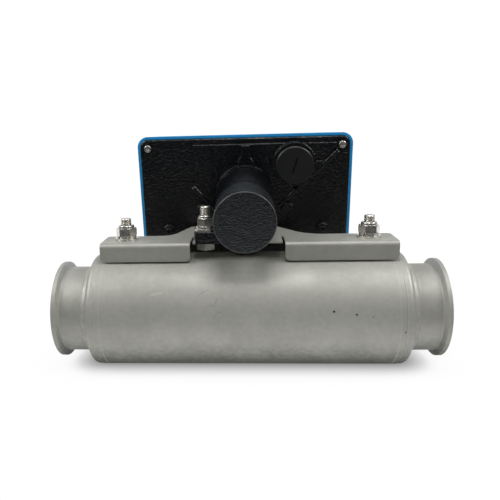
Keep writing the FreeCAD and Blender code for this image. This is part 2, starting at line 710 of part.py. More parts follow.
def foot_bolt():
    """The bolt from under the sheet, through the foot."""
    at = V(*FOOT_BOLT_AT, 0)
    low = SHEET_BOTTOM - FOOT_BOLT_HEAD_T
    stack = FOOT_H + FOOT_WASHER_T + FOOT_SPRING_T + FOOT_NUT_T + FOOT_NUT_COLLAR_T
    shank = chamfered_rod(FOOT_BOLT_R, low + 1, SHEET_TOP + stack + FOOT_BOLT_PROUD, STUD_CHAMFER, at)
    return hexagon(FOOT_BOLT_HEAD_AF, low, SHEET_BOTTOM, AZ, at).fuse(shank)


def foot_bolt_nut():
    """The locknut on the foot bolt, with a corner to the front."""
    at = V(*FOOT_BOLT_AT, 0)
    base = SHEET_TOP + FOOT_H + FOOT_WASHER_T + FOOT_SPRING_T
    nut = collared_nut(FOOT_NUT_AF, FOOT_NUT_T, FOOT_NUT_COLLAR_R, FOOT_NUT_COLLAR_T, base, at)
    nut.rotate(at, AZ, 30)
    return nut.cut(rod(FOOT_BOLT_R + SLIP / 2, SHEET_TOP, base + 2 * FOOT_NUT_T, AZ, at))


def conduit_nipple():
    """The hollow post that carries the leads up into the neck."""
    at = V(*NIPPLE_AT, 0)
    post = ring(NIPPLE_R, NIPPLE_BORE_R, SHELL_INNER_R - NIPPLE_DEPTH, SHEET_TOP + NIPPLE_RISE, AZ, at)
    return post.cut(rod(SHELL_INNER_R, -SHELL_HALF, SHELL_HALF))


def conduit_nut():
    """The thin nut under the sheet."""
    at = V(*NIPPLE_AT, 0)
    low = SHEET_BOTTOM - NIPPLE_NUT_T
    nut = hexagon(NIPPLE_NUT_AF, low, SHEET_BOTTOM, AZ, at)
    return nut.cut(rod(NIPPLE_R + SLIP / 2, low - 1, SHEET_BOTTOM + 1, AZ, at))


# ---- rear housing with its neck and foot ----

def neck_casting():
    """The neck, opening out at its root, with the spigot that the cap goes on."""
    root = NECK_ROOT_R + NECK_ROOT_FILLET
    bend = NECK_ROOT_FILLET * (1 - math.sqrt(0.5))
    edges = [line((0, SPIGOT_END, 0), (SPIGOT_R, SPIGOT_END, 0)),
             line((SPIGOT_R, SPIGOT_END, 0), (SPIGOT_R, CAP_REAR, 0)),
             line((SPIGOT_R, CAP_REAR, 0), (NECK_TIP_R, CAP_REAR, 0)),
             line((NECK_TIP_R, CAP_REAR, 0), (NECK_ROOT_R, -NECK_ROOT_FILLET, 0)),
             arc((NECK_ROOT_R, -NECK_ROOT_FILLET, 0), (NECK_ROOT_R + bend, -bend, 0), (root, 0, 0)),
             line((root, 0, 0), (root, 1, 0)),
             line((root, 1, 0), (0, 1, 0)),
             line((0, 1, 0), (0, SPIGOT_END, 0))]
    return spin(edges, AY)


def softened(shape, height, radius=RELIEF_EDGE_R):
    """A raised form with its outer edge rounded, as a casting has it."""
    edges = [e for e in shape.Edges if e.BoundBox.YMax < SLIP - height]
    return shape.makeFillet(radius, edges)


def rib(ends):
    """A straight rib with a round back between two points."""
    (x0, z0), (x1, z1) = ends
    length = math.hypot(x1 - x0, z1 - z0)
    bar = softened(slab((0, length), (-RIB_H, 1), (-RIB_W / 2, RIB_W / 2)), RIB_H, RIB_W / 3)
    bar.rotate(ORIGIN, AY, -math.degrees(math.atan2(z1 - z0, x1 - x0)))
    bar.translate(V(x0, 0, z0))
    return bar


def boss(radius, height, centre):
    """A round boss on the back."""
    return softened(rod(radius, -height, 1, AY, V(centre[0], 0, centre[1])), height)


def strip():
    """The flat rib above the neck, widening where it meets the neck's root."""
    root = NECK_ROOT_R + NECK_ROOT_FILLET
    wide, rise = STRIP_FLARE
    left, right = STRIP_X
    plan_points = ((left, STRIP_TOP), (right, STRIP_TOP), (right, root + rise), (right + wide, root),
                   (right + wide, 0), (left - wide, 0), (left - wide, root), (left, root + rise))
    return softened(outline_prism(plan_points, -STRIP_H, 1), STRIP_H)


def back_relief():
    """Everything that stands up from the back of the housing."""
    relief = [softened(outline_prism(PLATFORM, -PLATFORM_H, 1), PLATFORM_H),
              softened(outline_prism(PANEL, -PANEL_H, 1), PANEL_H), strip(), rib(LONG_RIB), rib(SHORT_RIB),
              softened(rounded_slab(PAD_HALF, PAD_CORNER_R, -PAD_H, 1, PAD_CENTRE), PAD_H),
              boss(PLUG_BOSS_R, PLUG_BOSS_H, PLUG_AT)]
    for side in SIDES:
        relief.append(boss(EAR_BOSS_R, EAR_BOSS_H, (side * EAR_BOSS_AT[0], EAR_BOSS_AT[1])))
        relief.append(boss(LOW_BOSS_R, LOW_BOSS_H, (side * LOW_BOSS_AT[0], LOW_BOSS_AT[1])))
        rail = sorted(side * x for x in RAIL_X)
        relief.append(slab(rail, (-RAIL_H, 1), RAIL_SPANS[side]))
    return relief


def rear_tray():
    """The shallow tray that closes the cover from behind."""
    tray = rounded_slab(HOUSING_HALF, HOUSING_CORNER_R, 0, HOUSING_DEPTH, HOUSING_MID)
    rim = [e for e in tray.Edges if e.BoundBox.YMax < 0.01]
    tray = tray.makeFillet(HOUSING_EDGE_R, rim)
    half = (HOUSING_HALF[0] - HOUSING_WALL, HOUSING_HALF[1] - HOUSING_WALL)
    pocket = rounded_slab(half, HOUSING_CORNER_R - 3, HOUSING_BACK_T, HOUSING_DEPTH + 1, HOUSING_MID)
    tray = tray.cut(pocket)
    posts = [rod(SCREW_BOSS_R, 2, HOUSING_DEPTH, AY, V(x, 0, z)) for x, z in SCREW_POINTS]
    posts += [rod(BOARD_POST_R, 2, MAIN_BOARD_Y, AY, V(x, 0, z)) for x, z in POST_POINTS]
    outside = rounded_slab(HOUSING_HALF, HOUSING_CORNER_R, 0, MAIN_BOARD_Y + 1, HOUSING_MID)
    return tray.fuse([post.common(outside) for post in posts])


def foot_block():
    """The foot, in the object's own axes: block, set-back base and the lip over the tab's edge."""
    inset, rise = FOOT_UNDERCUT
    top = SHEET_TOP + FOOT_H
    block = slab(FOOT_X, FOOT_Y, (SHEET_TOP + rise, top))
    upright = [e for e in block.Edges if e.BoundBox.ZLength > FOOT_H / 2]
    block = block.makeFillet(FOOT_CORNER_R, upright)
    block = block.makeFillet(FOOT_EDGE_R, [e for e in block.Edges if e.BoundBox.ZLength < SLIP])
    span = (FOOT_X[0] + inset, FOOT_X[1] - inset)
    front = FOOT_Y[0] + inset
    base = slab(span, (front, FOOT_Y[1] - inset), (SHEET_TOP, SHEET_TOP + rise + 1))
    lip = slab(span, (front, TAB_FRONT - GAP), (SHEET_TOP - FOOT_LIP_DROP, SHEET_TOP + rise))
    return block.fuse([base, lip])


def rear_housing():
    """The one casting: tray, relief, neck and foot."""
    cast = rear_tray().fuse(back_relief() + [neck_casting()])
    through = HOUSING_BACK_T + 2
    cuts = [rod(NECK_BORE_R, SPIGOT_END - 1, through, AY)]
    cuts.append(rod(PLUG_SHANK_R + SLIP, -PLUG_BOSS_H - 1, through, AY, V(PLUG_AT[0], 0, PLUG_AT[1])))
    cuts += [rod(SCREW_R + SLIP, -1, HOUSING_DEPTH + 1, AY, V(x, 0, z)) for x, z in SCREW_POINTS]
    cuts += [rod(BOARD_SCREW_R, MAIN_BOARD_Y - BOARD_SCREW_LENGTH - 2, MAIN_BOARD_Y + 1, AY, V(x, 0, z))
             for x, z in POST_POINTS]
    radius, depth = BOSS_SCREW
    for side in SIDES:
        at = V(side * LOW_BOSS_AT[0], 0, LOW_BOSS_AT[1])
        cuts.append(rod(radius, -LOW_BOSS_H - 1, depth - LOW_BOSS_H, AY, at))
    clear = [rod(NECK_BORE_R, SPIGOT_END, HOUSING_BACK_T, AY), rod(NECK_TIP_R + GAP, CAP_FRONT, CAP_REAR, AY)]
    cast = head(cast).fuse(foot_block().cut(head(Part.makeCompound(clear))))
    cast = cast.cut(Part.makeCompound([head(c) for c in cuts]))
    cast = cast.cut(rod(NIPPLE_R + SLIP, SHEET_BOTTOM, SHEET_TOP + NIPPLE_RISE, AZ, V(*NIPPLE_AT, 0)))
    cast = cast.cut(rod(FOOT_BOLT_R + GAP, SHEET_BOTTOM, SHEET_TOP + FOOT_H + 1, AZ, V(*FOOT_BOLT_AT, 0)))
    return cast.removeSplitter()


def neck_cap():
    """The blind cap on the neck, a cup with a softened front edge."""
    cup = rod(NECK_TIP_R, CAP_FRONT, CAP_REAR, AY)
    front = [e for e in cup.Edges if e.BoundBox.YMax < CAP_FRONT + 0.01]
    cup = cup.makeFillet(CAP_EDGE_R, front)
    return cup.cut(rod(SPIGOT_R + SLIP, CAP_FRONT + CAP_FACE_T, CAP_REAR + 1, AY))


def neck_seal():
    """The ring in front of the spigot, inside the cap."""
    return ring(SPIGOT_R, NECK_BORE_R + 1, SPIGOT_END - SEAL_T, SPIGOT_END, AY)


def service_plug():
    """The slotted blanking plug."""
    at = V(PLUG_AT[0], 0, PLUG_AT[1])
    back = -PLUG_BOSS_H - SLIP
    front = back - PLUG_T
    disc = rod(PLUG_R, front, back, AY, at)
    edge = [e for e in disc.Edges if e.BoundBox.YMax < front + 0.01]
    disc = disc.makeChamfer(PLUG_BEVEL, edge)
    disc = disc.fuse(rod(PLUG_SHANK_R, front + 1, back + PLUG_SHANK, AY, at))
    disc = disc.cut(rod(PLUG_SHANK_R - PLUG_SHANK_WALL, back, back + PLUG_SHANK + 1, AY, at))
    length, width, depth = PLUG_SLOT
    slot = slab((-width / 2, width / 2), (front - 1, front + depth), (-length / 2, length / 2))
    slot.rotate(ORIGIN, AY, PLUG_SLOT_TURN)
    slot.translate(at)
    return disc.cut(slot)


# ---- front housing ----

def cover_shell():
    """The drafted outside of the cover."""
    half_x, half_z = HOUSING_HALF[0] + COVER_LIP, HOUSING_HALF[1] + COVER_LIP
    rear = rounded_wire(half_x, half_z, COVER_CORNER_R, COVER_REAR, HOUSING_MID)
    drop = COVER_DRAFT_DROP
    front = rounded_wire(half_x - drop, half_z - drop, COVER_CORNER_R, COVER_FRONT, HOUSING_MID)
    shell = Part.makeLoft([rear, front], True, True)
    edge = [e for e in shell.Edges if e.BoundBox.YMin > COVER_FRONT - 0.01]
    return shell.makeFillet(COVER_EDGE_R, edge)


def front_housing():
    """The cover, with its pocket, window opening, button holes and entry seats."""
    cover = cover_shell()
    seats = [rod(ENTRY_SEAT_R, ENTRY_SEAT, ENTRY_INNER, AZ, entry_point(x)) for x in ENTRY_X + (BLANK_X,)]
    cover = cover.fuse(seats)
    ledge = HOUSING_DEPTH + GASKET_T
    recess = (HOUSING_HALF[0] + SLIP, HOUSING_HALF[1] + SLIP)
    inside = COVER_FRONT - COVER_WALL
    cuts = [rounded_slab(recess, HOUSING_CORNER_R, COVER_REAR - 1, ledge, HOUSING_MID),
            rounded_slab(COVER_POCKET, COVER_POCKET_CORNER_R, ledge - 1, inside, HOUSING_MID)]
    seat = COVER_FRONT - WINDOW_T - SLIP
    cuts.append(rounded_slab(WINDOW_HALF, WINDOW_CORNER_R, seat, COVER_FRONT + 1, WINDOW_AT))
    light = (WINDOW_HALF[0] - WINDOW_LEDGE, WINDOW_HALF[1] - WINDOW_LEDGE)
    cuts.append(rounded_slab(light, WINDOW_CORNER_R / 2, inside - 1, COVER_FRONT, WINDOW_AT))
    cuts += [rod(BUTTON_R + GAP, inside - 1, COVER_FRONT + 1, AY, V(x, 0, BUTTON_Z)) for x in BUTTON_X]
    cuts += [rod(ENTRY_R, ENTRY_SEAT - 1, ENTRY_INNER + 1, AZ, entry_point(x)) for x in ENTRY_X + (BLANK_X,)]
    cuts += [rod(SCREW_R, ledge - 1, 2 * ledge, AY, V(x, 0, z)) for x, z in SCREW_POINTS]
    cover = cover.cut(Part.makeCompound(cuts))
    start = DISPLAY_BOARD_Y + BOARD_T
    posts = []
    for x, z in POST_POINTS:
        posts.append(ring(BOARD_POST_R, BOARD_SCREW_R, start, inside - 2, AY, V(x, 0, z)))
        posts.append(rod(BOARD_POST_R, inside - 2, inside, AY, V(x, 0, z)))
    return cover.fuse(posts).removeSplitter()


def housing_gasket():
    """The gasket between the tray and the cover."""
    low, high = HOUSING_DEPTH, HOUSING_DEPTH + GASKET_T
    plates = []
    for inset in (GASKET_INSET, GASKET_INSET + GASKET_W):
        half = (HOUSING_HALF[0] - inset, HOUSING_HALF[1] - inset)
        plates.append(rounded_slab(half, HOUSING_CORNER_R - inset, low, high, HOUSING_MID))
    return plates[0].cut(plates[1])


def pan_screw(centre, seat, length, head_r=PAN_HEAD[0], shank_r=SCREW_R - SLIP, head_t=PAN_HEAD[1]):
    """A pan-head screw going in along +Y from a seat."""
    at = V(centre[0], 0, centre[1])
    top = rod(head_r, seat - head_t, seat, AY, at)
    edge = [e for e in top.Edges if e.BoundBox.YMax < seat - head_t + 0.01]
    top = top.makeFillet(PAN_EDGE_R, edge)
    recess = Part.makeCone(*PAN_RECESS, at + V(0, seat - head_t, 0), AY)
    return top.fuse(rod(shank_r, seat - 0.5, seat + length, AY, at)).cut(recess)


def display_window():
    """The clear pane."""
    half = (WINDOW_HALF[0] - SLIP, WINDOW_HALF[1] - SLIP)
    return rounded_slab(half, WINDOW_CORNER_R - SLIP, COVER_FRONT - WINDOW_T, COVER_FRONT, WINDOW_AT)


def button(x):
    """A push button with its retaining flange and stem."""
    at = V(x, 0, BUTTON_Z)
    inner = COVER_FRONT - COVER_WALL - GAP
    front = COVER_FRONT + BEZEL_T + BUTTON_PROUD
    cap = rod(BUTTON_R, inner - 1, front, AY, at)
    edge = [e for e in cap.Edges if e.BoundBox.YMin > front - 0.01]
    cap = cap.makeFillet(BUTTON_EDGE_R, edge)
    flange_r, flange_t = BUTTON_FLANGE
    flange = rod(flange_r, inner - flange_t, inner, AY, at)
    stem = rod(BUTTON_STEM_R, DISPLAY_BOARD_Y + BOARD_T + SWITCH_H + BUTTON_TRAVEL + GAP, inner, AY, at)
    return cap.fuse([flange, stem]).removeSplitter()


def keypad_bezel():
    """The plate around the buttons."""
    plate = rounded_slab(BEZEL_HALF, BEZEL_CORNER_R, COVER_FRONT, COVER_FRONT + BEZEL_T, (0.0, BUTTON_Z))
    holes = [rod(BUTTON_R + GAP, COVER_FRONT - 1, COVER_FRONT + BEZEL_T + 1, AY, V(x, 0, BUTTON_Z))
             for x in BUTTON_X]
    return plate.cut(Part.makeCompound(holes))


def board(half, y):
    """A circuit board with a hole at each post."""
    holes = [rod(BOARD_SCREW_R + SLIP, y - 1, y + BOARD_T + 1, AY, V(x, 0, z)) for x, z in POST_POINTS]
    return rounded_slab(half, 3.0, y, y + BOARD_T, HOUSING_MID).cut(Part.makeCompound(holes))


def board_screws():
    """The screws of both boards."""
    screws = []
    head_r, head_t = BOARD_SCREW_HEAD
    for x, z in POST_POINTS:
        inward = pan_screw((x, z), 0, BOARD_SCREW_LENGTH, head_r, BOARD_SCREW_R - SLIP, head_t)
        outward = inward.copy()
        outward.rotate(V(x, 0, z), AZ, 180)
        inward.translate(V(0, DISPLAY_BOARD_Y, 0))
        outward.translate(V(0, MAIN_BOARD_Y + BOARD_T, 0))
        screws += [inward, outward]
    return screws


def board_components():
    """The tall components on the main board."""
    base = MAIN_BOARD_Y + BOARD_T
    x0, z0 = HOUSING_MID
    blocks = [slab((x0 + left, x0 + right), (base, base + height), (z0 + low, z0 + top))
              for left, low, right, top, height in RELAYS + CHIPS + (PLUG_STRIP,)]
    cans = [rod(CAPACITOR_R, base, base + CAPACITOR_H, AY, V(x0 + x, 0, z0 + z)) for x, z in CAPACITORS]
    return blocks + cans


# ---- cable entries ----

def entry_point(x):
    """The centre of a cable entry, on the head's own X axis plane."""
    return V(x, ENTRY_Y, 0)


def gland_body(x):
    """The lower half of a gland: thread, hexagon and clamping throat."""
    at = entry_point(x)
    low = ENTRY_SEAT - GLAND_HEX_T
    end = low - GLAND_THROAT
    body = rod(ENTRY_R - SLIP, low + 1, ENTRY_INNER + THREAD_PROUD, AZ, at)
    body = body.fuse(hexagon(GLAND_HEX_AF, low, ENTRY_SEAT, AZ, at))
    body = body.fuse(rod(GLAND_NUT_R - GLAND_NUT_WALL - SLIP, end, low + 1, AZ, at))
    return body.cut(rod(GLAND_BORE_R, end - 1, ENTRY_INNER + THREAD_PROUD + 1, AZ, at))


def gland_nut(x):
    """The domed nut of a gland."""
    at = entry_point(x)
    top = ENTRY_SEAT - GLAND_HEX_T - SLIP
    low = top - GLAND_NUT_T
    nut = rod(GLAND_NUT_R, low, top, AZ, at)
    edge = [e for e in nut.Edges if e.BoundBox.ZMax < low + SLIP]
    nut = nut.makeFillet(GLAND_DOME_R, edge)
    throat = rod(GLAND_NUT_R - GLAND_NUT_WALL, low + GLAND_DOME_R, top + 1, AZ, at)
    return nut.cut(throat).cut(rod(CABLE_R + CABLE_CLEAR, low - 1, top, AZ, at))


def gland_seal(x):
    """The rubber sleeve of a gland."""
    low = ENTRY_SEAT - GLAND_HEX_T - GLAND_NUT_T + GLAND_DOME_R
    return ring(GLAND_BORE_R - SLIP, CABLE_R, low, low + SEAL_LENGTH, AZ, entry_point(x))


def entry_plug():
    """The blanking plug of the unused entry."""
    at = entry_point(BLANK_X)
    low = ENTRY_SEAT - BLANK_HEAD_T
    end = ENTRY_INNER + THREAD_PROUD
    plug = hexagon(GLAND_HEX_AF, low, ENTRY_SEAT, AZ, at).fuse(rod(ENTRY_R - SLIP, low + 1, end, AZ, at))
    return plug.cut(rod(ENTRY_R - SLIP - BLANK_WALL, ENTRY_SEAT, end + 1, AZ, at))


# ---- terminals and loom ----

def terminal_places():
    """The middle of each terminal, along X."""
    pitch = TERMINAL_SIZE[0] / TERMINAL_COUNT
    return [V(pitch * (i - (TERMINAL_COUNT - 1) / 2), 0, 0) for i in range(TERMINAL_COUNT)]


def terminal_block():
    """The terminal strip in the neck, with a well over each screw."""
    width, depth, height = TERMINAL_SIZE
    rear = TERMINAL_Y + depth
    block = slab((-width / 2, width / 2), (TERMINAL_Y, rear), (-height / 2, height / 2))
    block = block.fuse(rod(NECK_BORE_R, rear, rear + TERMINAL_BASE_T, AY))
    radius, well = TERMINAL_WELL
    return block.cut(Part.makeCompound([rod(radius, TERMINAL_Y - 1, TERMINAL_Y + well, AY, at)
                                        for at in terminal_places()]))


def terminal_screws():
    """The clamp screws in the terminal wells."""
    radius, length = TERMINAL_SCREW
    floor = TERMINAL_Y + TERMINAL_WELL[1]
    return [rod(radius, floor - length, floor, AY, at) for at in terminal_places()]


def sensor_loom():
    """The jacketed loom from the shell up the conduit and back into the housing."""
    x, y = NIPPLE_AT
    turn, reach = SHEET_TOP + LOOM_TURN_RISE, LOOM_BEND_R
    start = V(x, y, SHELL_INNER_R)
    bend_in = V(x, y, turn)
    bend_mid = V(x, y + reach * (1 - math.sqrt(0.5)), turn + reach * math.sqrt(0.5))
    bend_out = V(x, y + reach, turn + reach)
    run = HEAD_Y + LOOM_REACH - bend_out.y
    end = bend_out + V(0, run, run * math.tan(TILT))
    path = Part.Wire([Part.makeLine(start, bend_in), Part.Arc(bend_in, bend_mid, bend_out).toShape(),
                      Part.makeLine(bend_out, end)])
    section = Part.Wire([Part.makeCircle(LOOM_R, start, AZ)])
    return path.makePipeShell([section], True, False, 2)


def main():
    """Write every node."""
    save("measuring_tube", measuring_tube())
    save("liner", liner())
    save("inlet_ferrule", ferrule(-1))
    save("outlet_ferrule", ferrule(1))
    save("body_shell", body_shell())
    save("inlet_end_cap", end_cap(-1))
    save("outlet_end_cap", end_cap(1))
    save("upper_pole_shoe", pole_shoe(1))
    save("lower_pole_shoe", pole_shoe(-1))
    save("upper_coil", coil(1))
    save("lower_coil", coil(-1))
    save("return_yoke", return_yoke())
    ground = V(GROUND_X, 0, 0)
    down = V(0, 0, -1)
    save("front_electrode", electrode(V(0, -1, 0)))
    save("rear_electrode", electrode(AY))
    save("grounding_electrode", electrode(down, ground))
    places = ((V(0, -1, 0), ORIGIN), (AY, ORIGIN), (down, ground))
    save("electrode_bushes", *[electrode_bush(axis, at) for axis, at in places])
    save("electrode_nuts", *[electrode_nut(axis, at) for axis, at in places])
    save("electrode_leads", *electrode_leads())

    save("bracket", bracket())
    save("stud_bosses", *[stud_boss(s) for s in SIDES])
    save("bracket_studs", *[stud(s) for s in SIDES])
    studs = [V(s * STUD_X, 0, 0) for s in SIDES]
    level = SHEET_TOP + FLAT_WASHER_T
    save("flat_washers", *[ring(FLAT_WASHER_R, STUD_R + GAP, SHEET_TOP, level, AZ, at) for at in studs])
    save("spring_washers", *[split_washer(SPRING_WASHER_R, STUD_R + GAP, level, SPRING_WASHER_T, at)
                             for at in studs])
    save("locknuts", *[locknut(s) for s in SIDES])
    bolt = V(*FOOT_BOLT_AT, 0)
    foot_top = SHEET_TOP + FOOT_H
    save("foot_bolt", foot_bolt())
    save("foot_washer", ring(FOOT_WASHER_R, FOOT_BOLT_R + GAP, foot_top, foot_top + FOOT_WASHER_T, AZ, bolt))
    save("foot_spring_washer", split_washer(FOOT_SPRING_R, FOOT_BOLT_R + GAP, foot_top + FOOT_WASHER_T,
                                            FOOT_SPRING_T, bolt))
    save("foot_nut", foot_bolt_nut())
    save("conduit_nipple", conduit_nipple())
    save("conduit_nut", conduit_nut())

    save("rear_housing", rear_housing())
    save("neck_cap", head(neck_cap()))
    save("neck_seal", head(neck_seal()))
    save("service_plug", head(service_plug()))
    save("front_housing", head(front_housing()))
    save("housing_gasket", head(housing_gasket()))
    save("cover_screws", *[head(pan_screw(point, 0, HOUSING_DEPTH + COVER_SCREW_GRIP)) for point in SCREW_POINTS])
    low_bosses = [(s * LOW_BOSS_AT[0], LOW_BOSS_AT[1]) for s in SIDES]
    save("boss_screws", *[head(pan_screw(c, -LOW_BOSS_H, BOSS_SCREW_LENGTH)) for c in low_bosses])
    save("display_window", head(display_window()))
    save("keypad_bezel", head(keypad_bezel()))
    for index, x in enumerate(BUTTON_X):
        save("button_%d" % (index + 1), head(button(x)))
    save("display_board", head(board(DISPLAY_BOARD_HALF, DISPLAY_BOARD_Y)))
    top = DISPLAY_BOARD_Y + BOARD_T
    save("key_switches", *[head(slab((x - SWITCH_HALF, x + SWITCH_HALF), (top, top + SWITCH_H),
                                     (BUTTON_Z - SWITCH_HALF, BUTTON_Z + SWITCH_HALF))) for x in BUTTON_X])
    screen_front = COVER_FRONT - WINDOW_T - GAP
    save("display_screen", head(rounded_slab(SCREEN_HALF, 1.0, top, screen_front, WINDOW_AT)))
    save("main_board", head(board(MAIN_BOARD_HALF, MAIN_BOARD_Y)))
    save("board_components", *[head(block) for block in board_components()])
    save("board_screws", *[head(screw) for screw in board_screws()])
    save("gland_bodies", *[head(gland_body(x)) for x in ENTRY_X])
    save("gland_nuts", *[head(gland_nut(x)) for x in ENTRY_X])
    save("gland_seals", *[head(gland_seal(x)) for x in ENTRY_X])
    save("entry_plug", head(entry_plug()))
    save("terminal_block", head(terminal_block()))
    save("terminal_screws", *[head(screw) for screw in terminal_screws()])
    save("sensor_loom", sensor_loom())


main()
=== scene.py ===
"""In-line flow meter with clamp ferrules: finishes, threads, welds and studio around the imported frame."""

import json
import logging
import math
from dataclasses import dataclass
from enum import Enum

import bmesh
import bpy
from mathutils import Matrix, Vector

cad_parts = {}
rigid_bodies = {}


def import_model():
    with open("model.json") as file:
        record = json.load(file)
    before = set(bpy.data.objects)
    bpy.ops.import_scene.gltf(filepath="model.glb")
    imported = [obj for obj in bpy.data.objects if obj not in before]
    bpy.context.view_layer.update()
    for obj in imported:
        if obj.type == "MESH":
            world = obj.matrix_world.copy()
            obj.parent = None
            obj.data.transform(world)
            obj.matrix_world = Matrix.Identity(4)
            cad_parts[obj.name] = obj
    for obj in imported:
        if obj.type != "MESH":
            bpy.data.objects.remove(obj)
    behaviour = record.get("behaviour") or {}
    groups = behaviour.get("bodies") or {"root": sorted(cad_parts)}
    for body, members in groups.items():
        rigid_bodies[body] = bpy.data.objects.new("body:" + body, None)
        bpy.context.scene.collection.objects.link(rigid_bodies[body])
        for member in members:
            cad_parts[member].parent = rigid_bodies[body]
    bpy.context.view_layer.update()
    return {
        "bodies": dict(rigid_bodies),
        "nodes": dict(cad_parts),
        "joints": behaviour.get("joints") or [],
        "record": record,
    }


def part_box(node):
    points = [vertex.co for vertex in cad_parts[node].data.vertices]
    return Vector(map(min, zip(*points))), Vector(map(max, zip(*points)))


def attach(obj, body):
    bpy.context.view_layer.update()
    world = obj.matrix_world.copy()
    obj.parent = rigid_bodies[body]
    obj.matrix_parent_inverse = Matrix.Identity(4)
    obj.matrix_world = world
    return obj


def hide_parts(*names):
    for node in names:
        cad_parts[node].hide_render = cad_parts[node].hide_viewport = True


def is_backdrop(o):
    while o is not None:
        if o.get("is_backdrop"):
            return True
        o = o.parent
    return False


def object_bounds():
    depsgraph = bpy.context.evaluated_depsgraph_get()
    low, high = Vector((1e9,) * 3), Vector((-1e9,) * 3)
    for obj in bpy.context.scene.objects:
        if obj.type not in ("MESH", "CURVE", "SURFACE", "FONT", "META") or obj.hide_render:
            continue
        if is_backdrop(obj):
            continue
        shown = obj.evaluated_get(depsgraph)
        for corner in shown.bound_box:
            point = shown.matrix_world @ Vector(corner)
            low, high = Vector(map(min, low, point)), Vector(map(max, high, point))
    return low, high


LOG = logging.getLogger("flow_meter")
METER = "meter"
MM = 0.001
HEAD_TILT = 5.5                     # lean of the head about X, in degrees
HEAD_AT = (-1.0, 62.5, 103.2)       # the point that it leans about, in millimetres
CLOSE = 1e-6                        # corners nearer than this are one, in metres

Socket = bpy.types.NodeSocket
Colour = tuple[float, float, float]
Point = tuple[float, float, float]


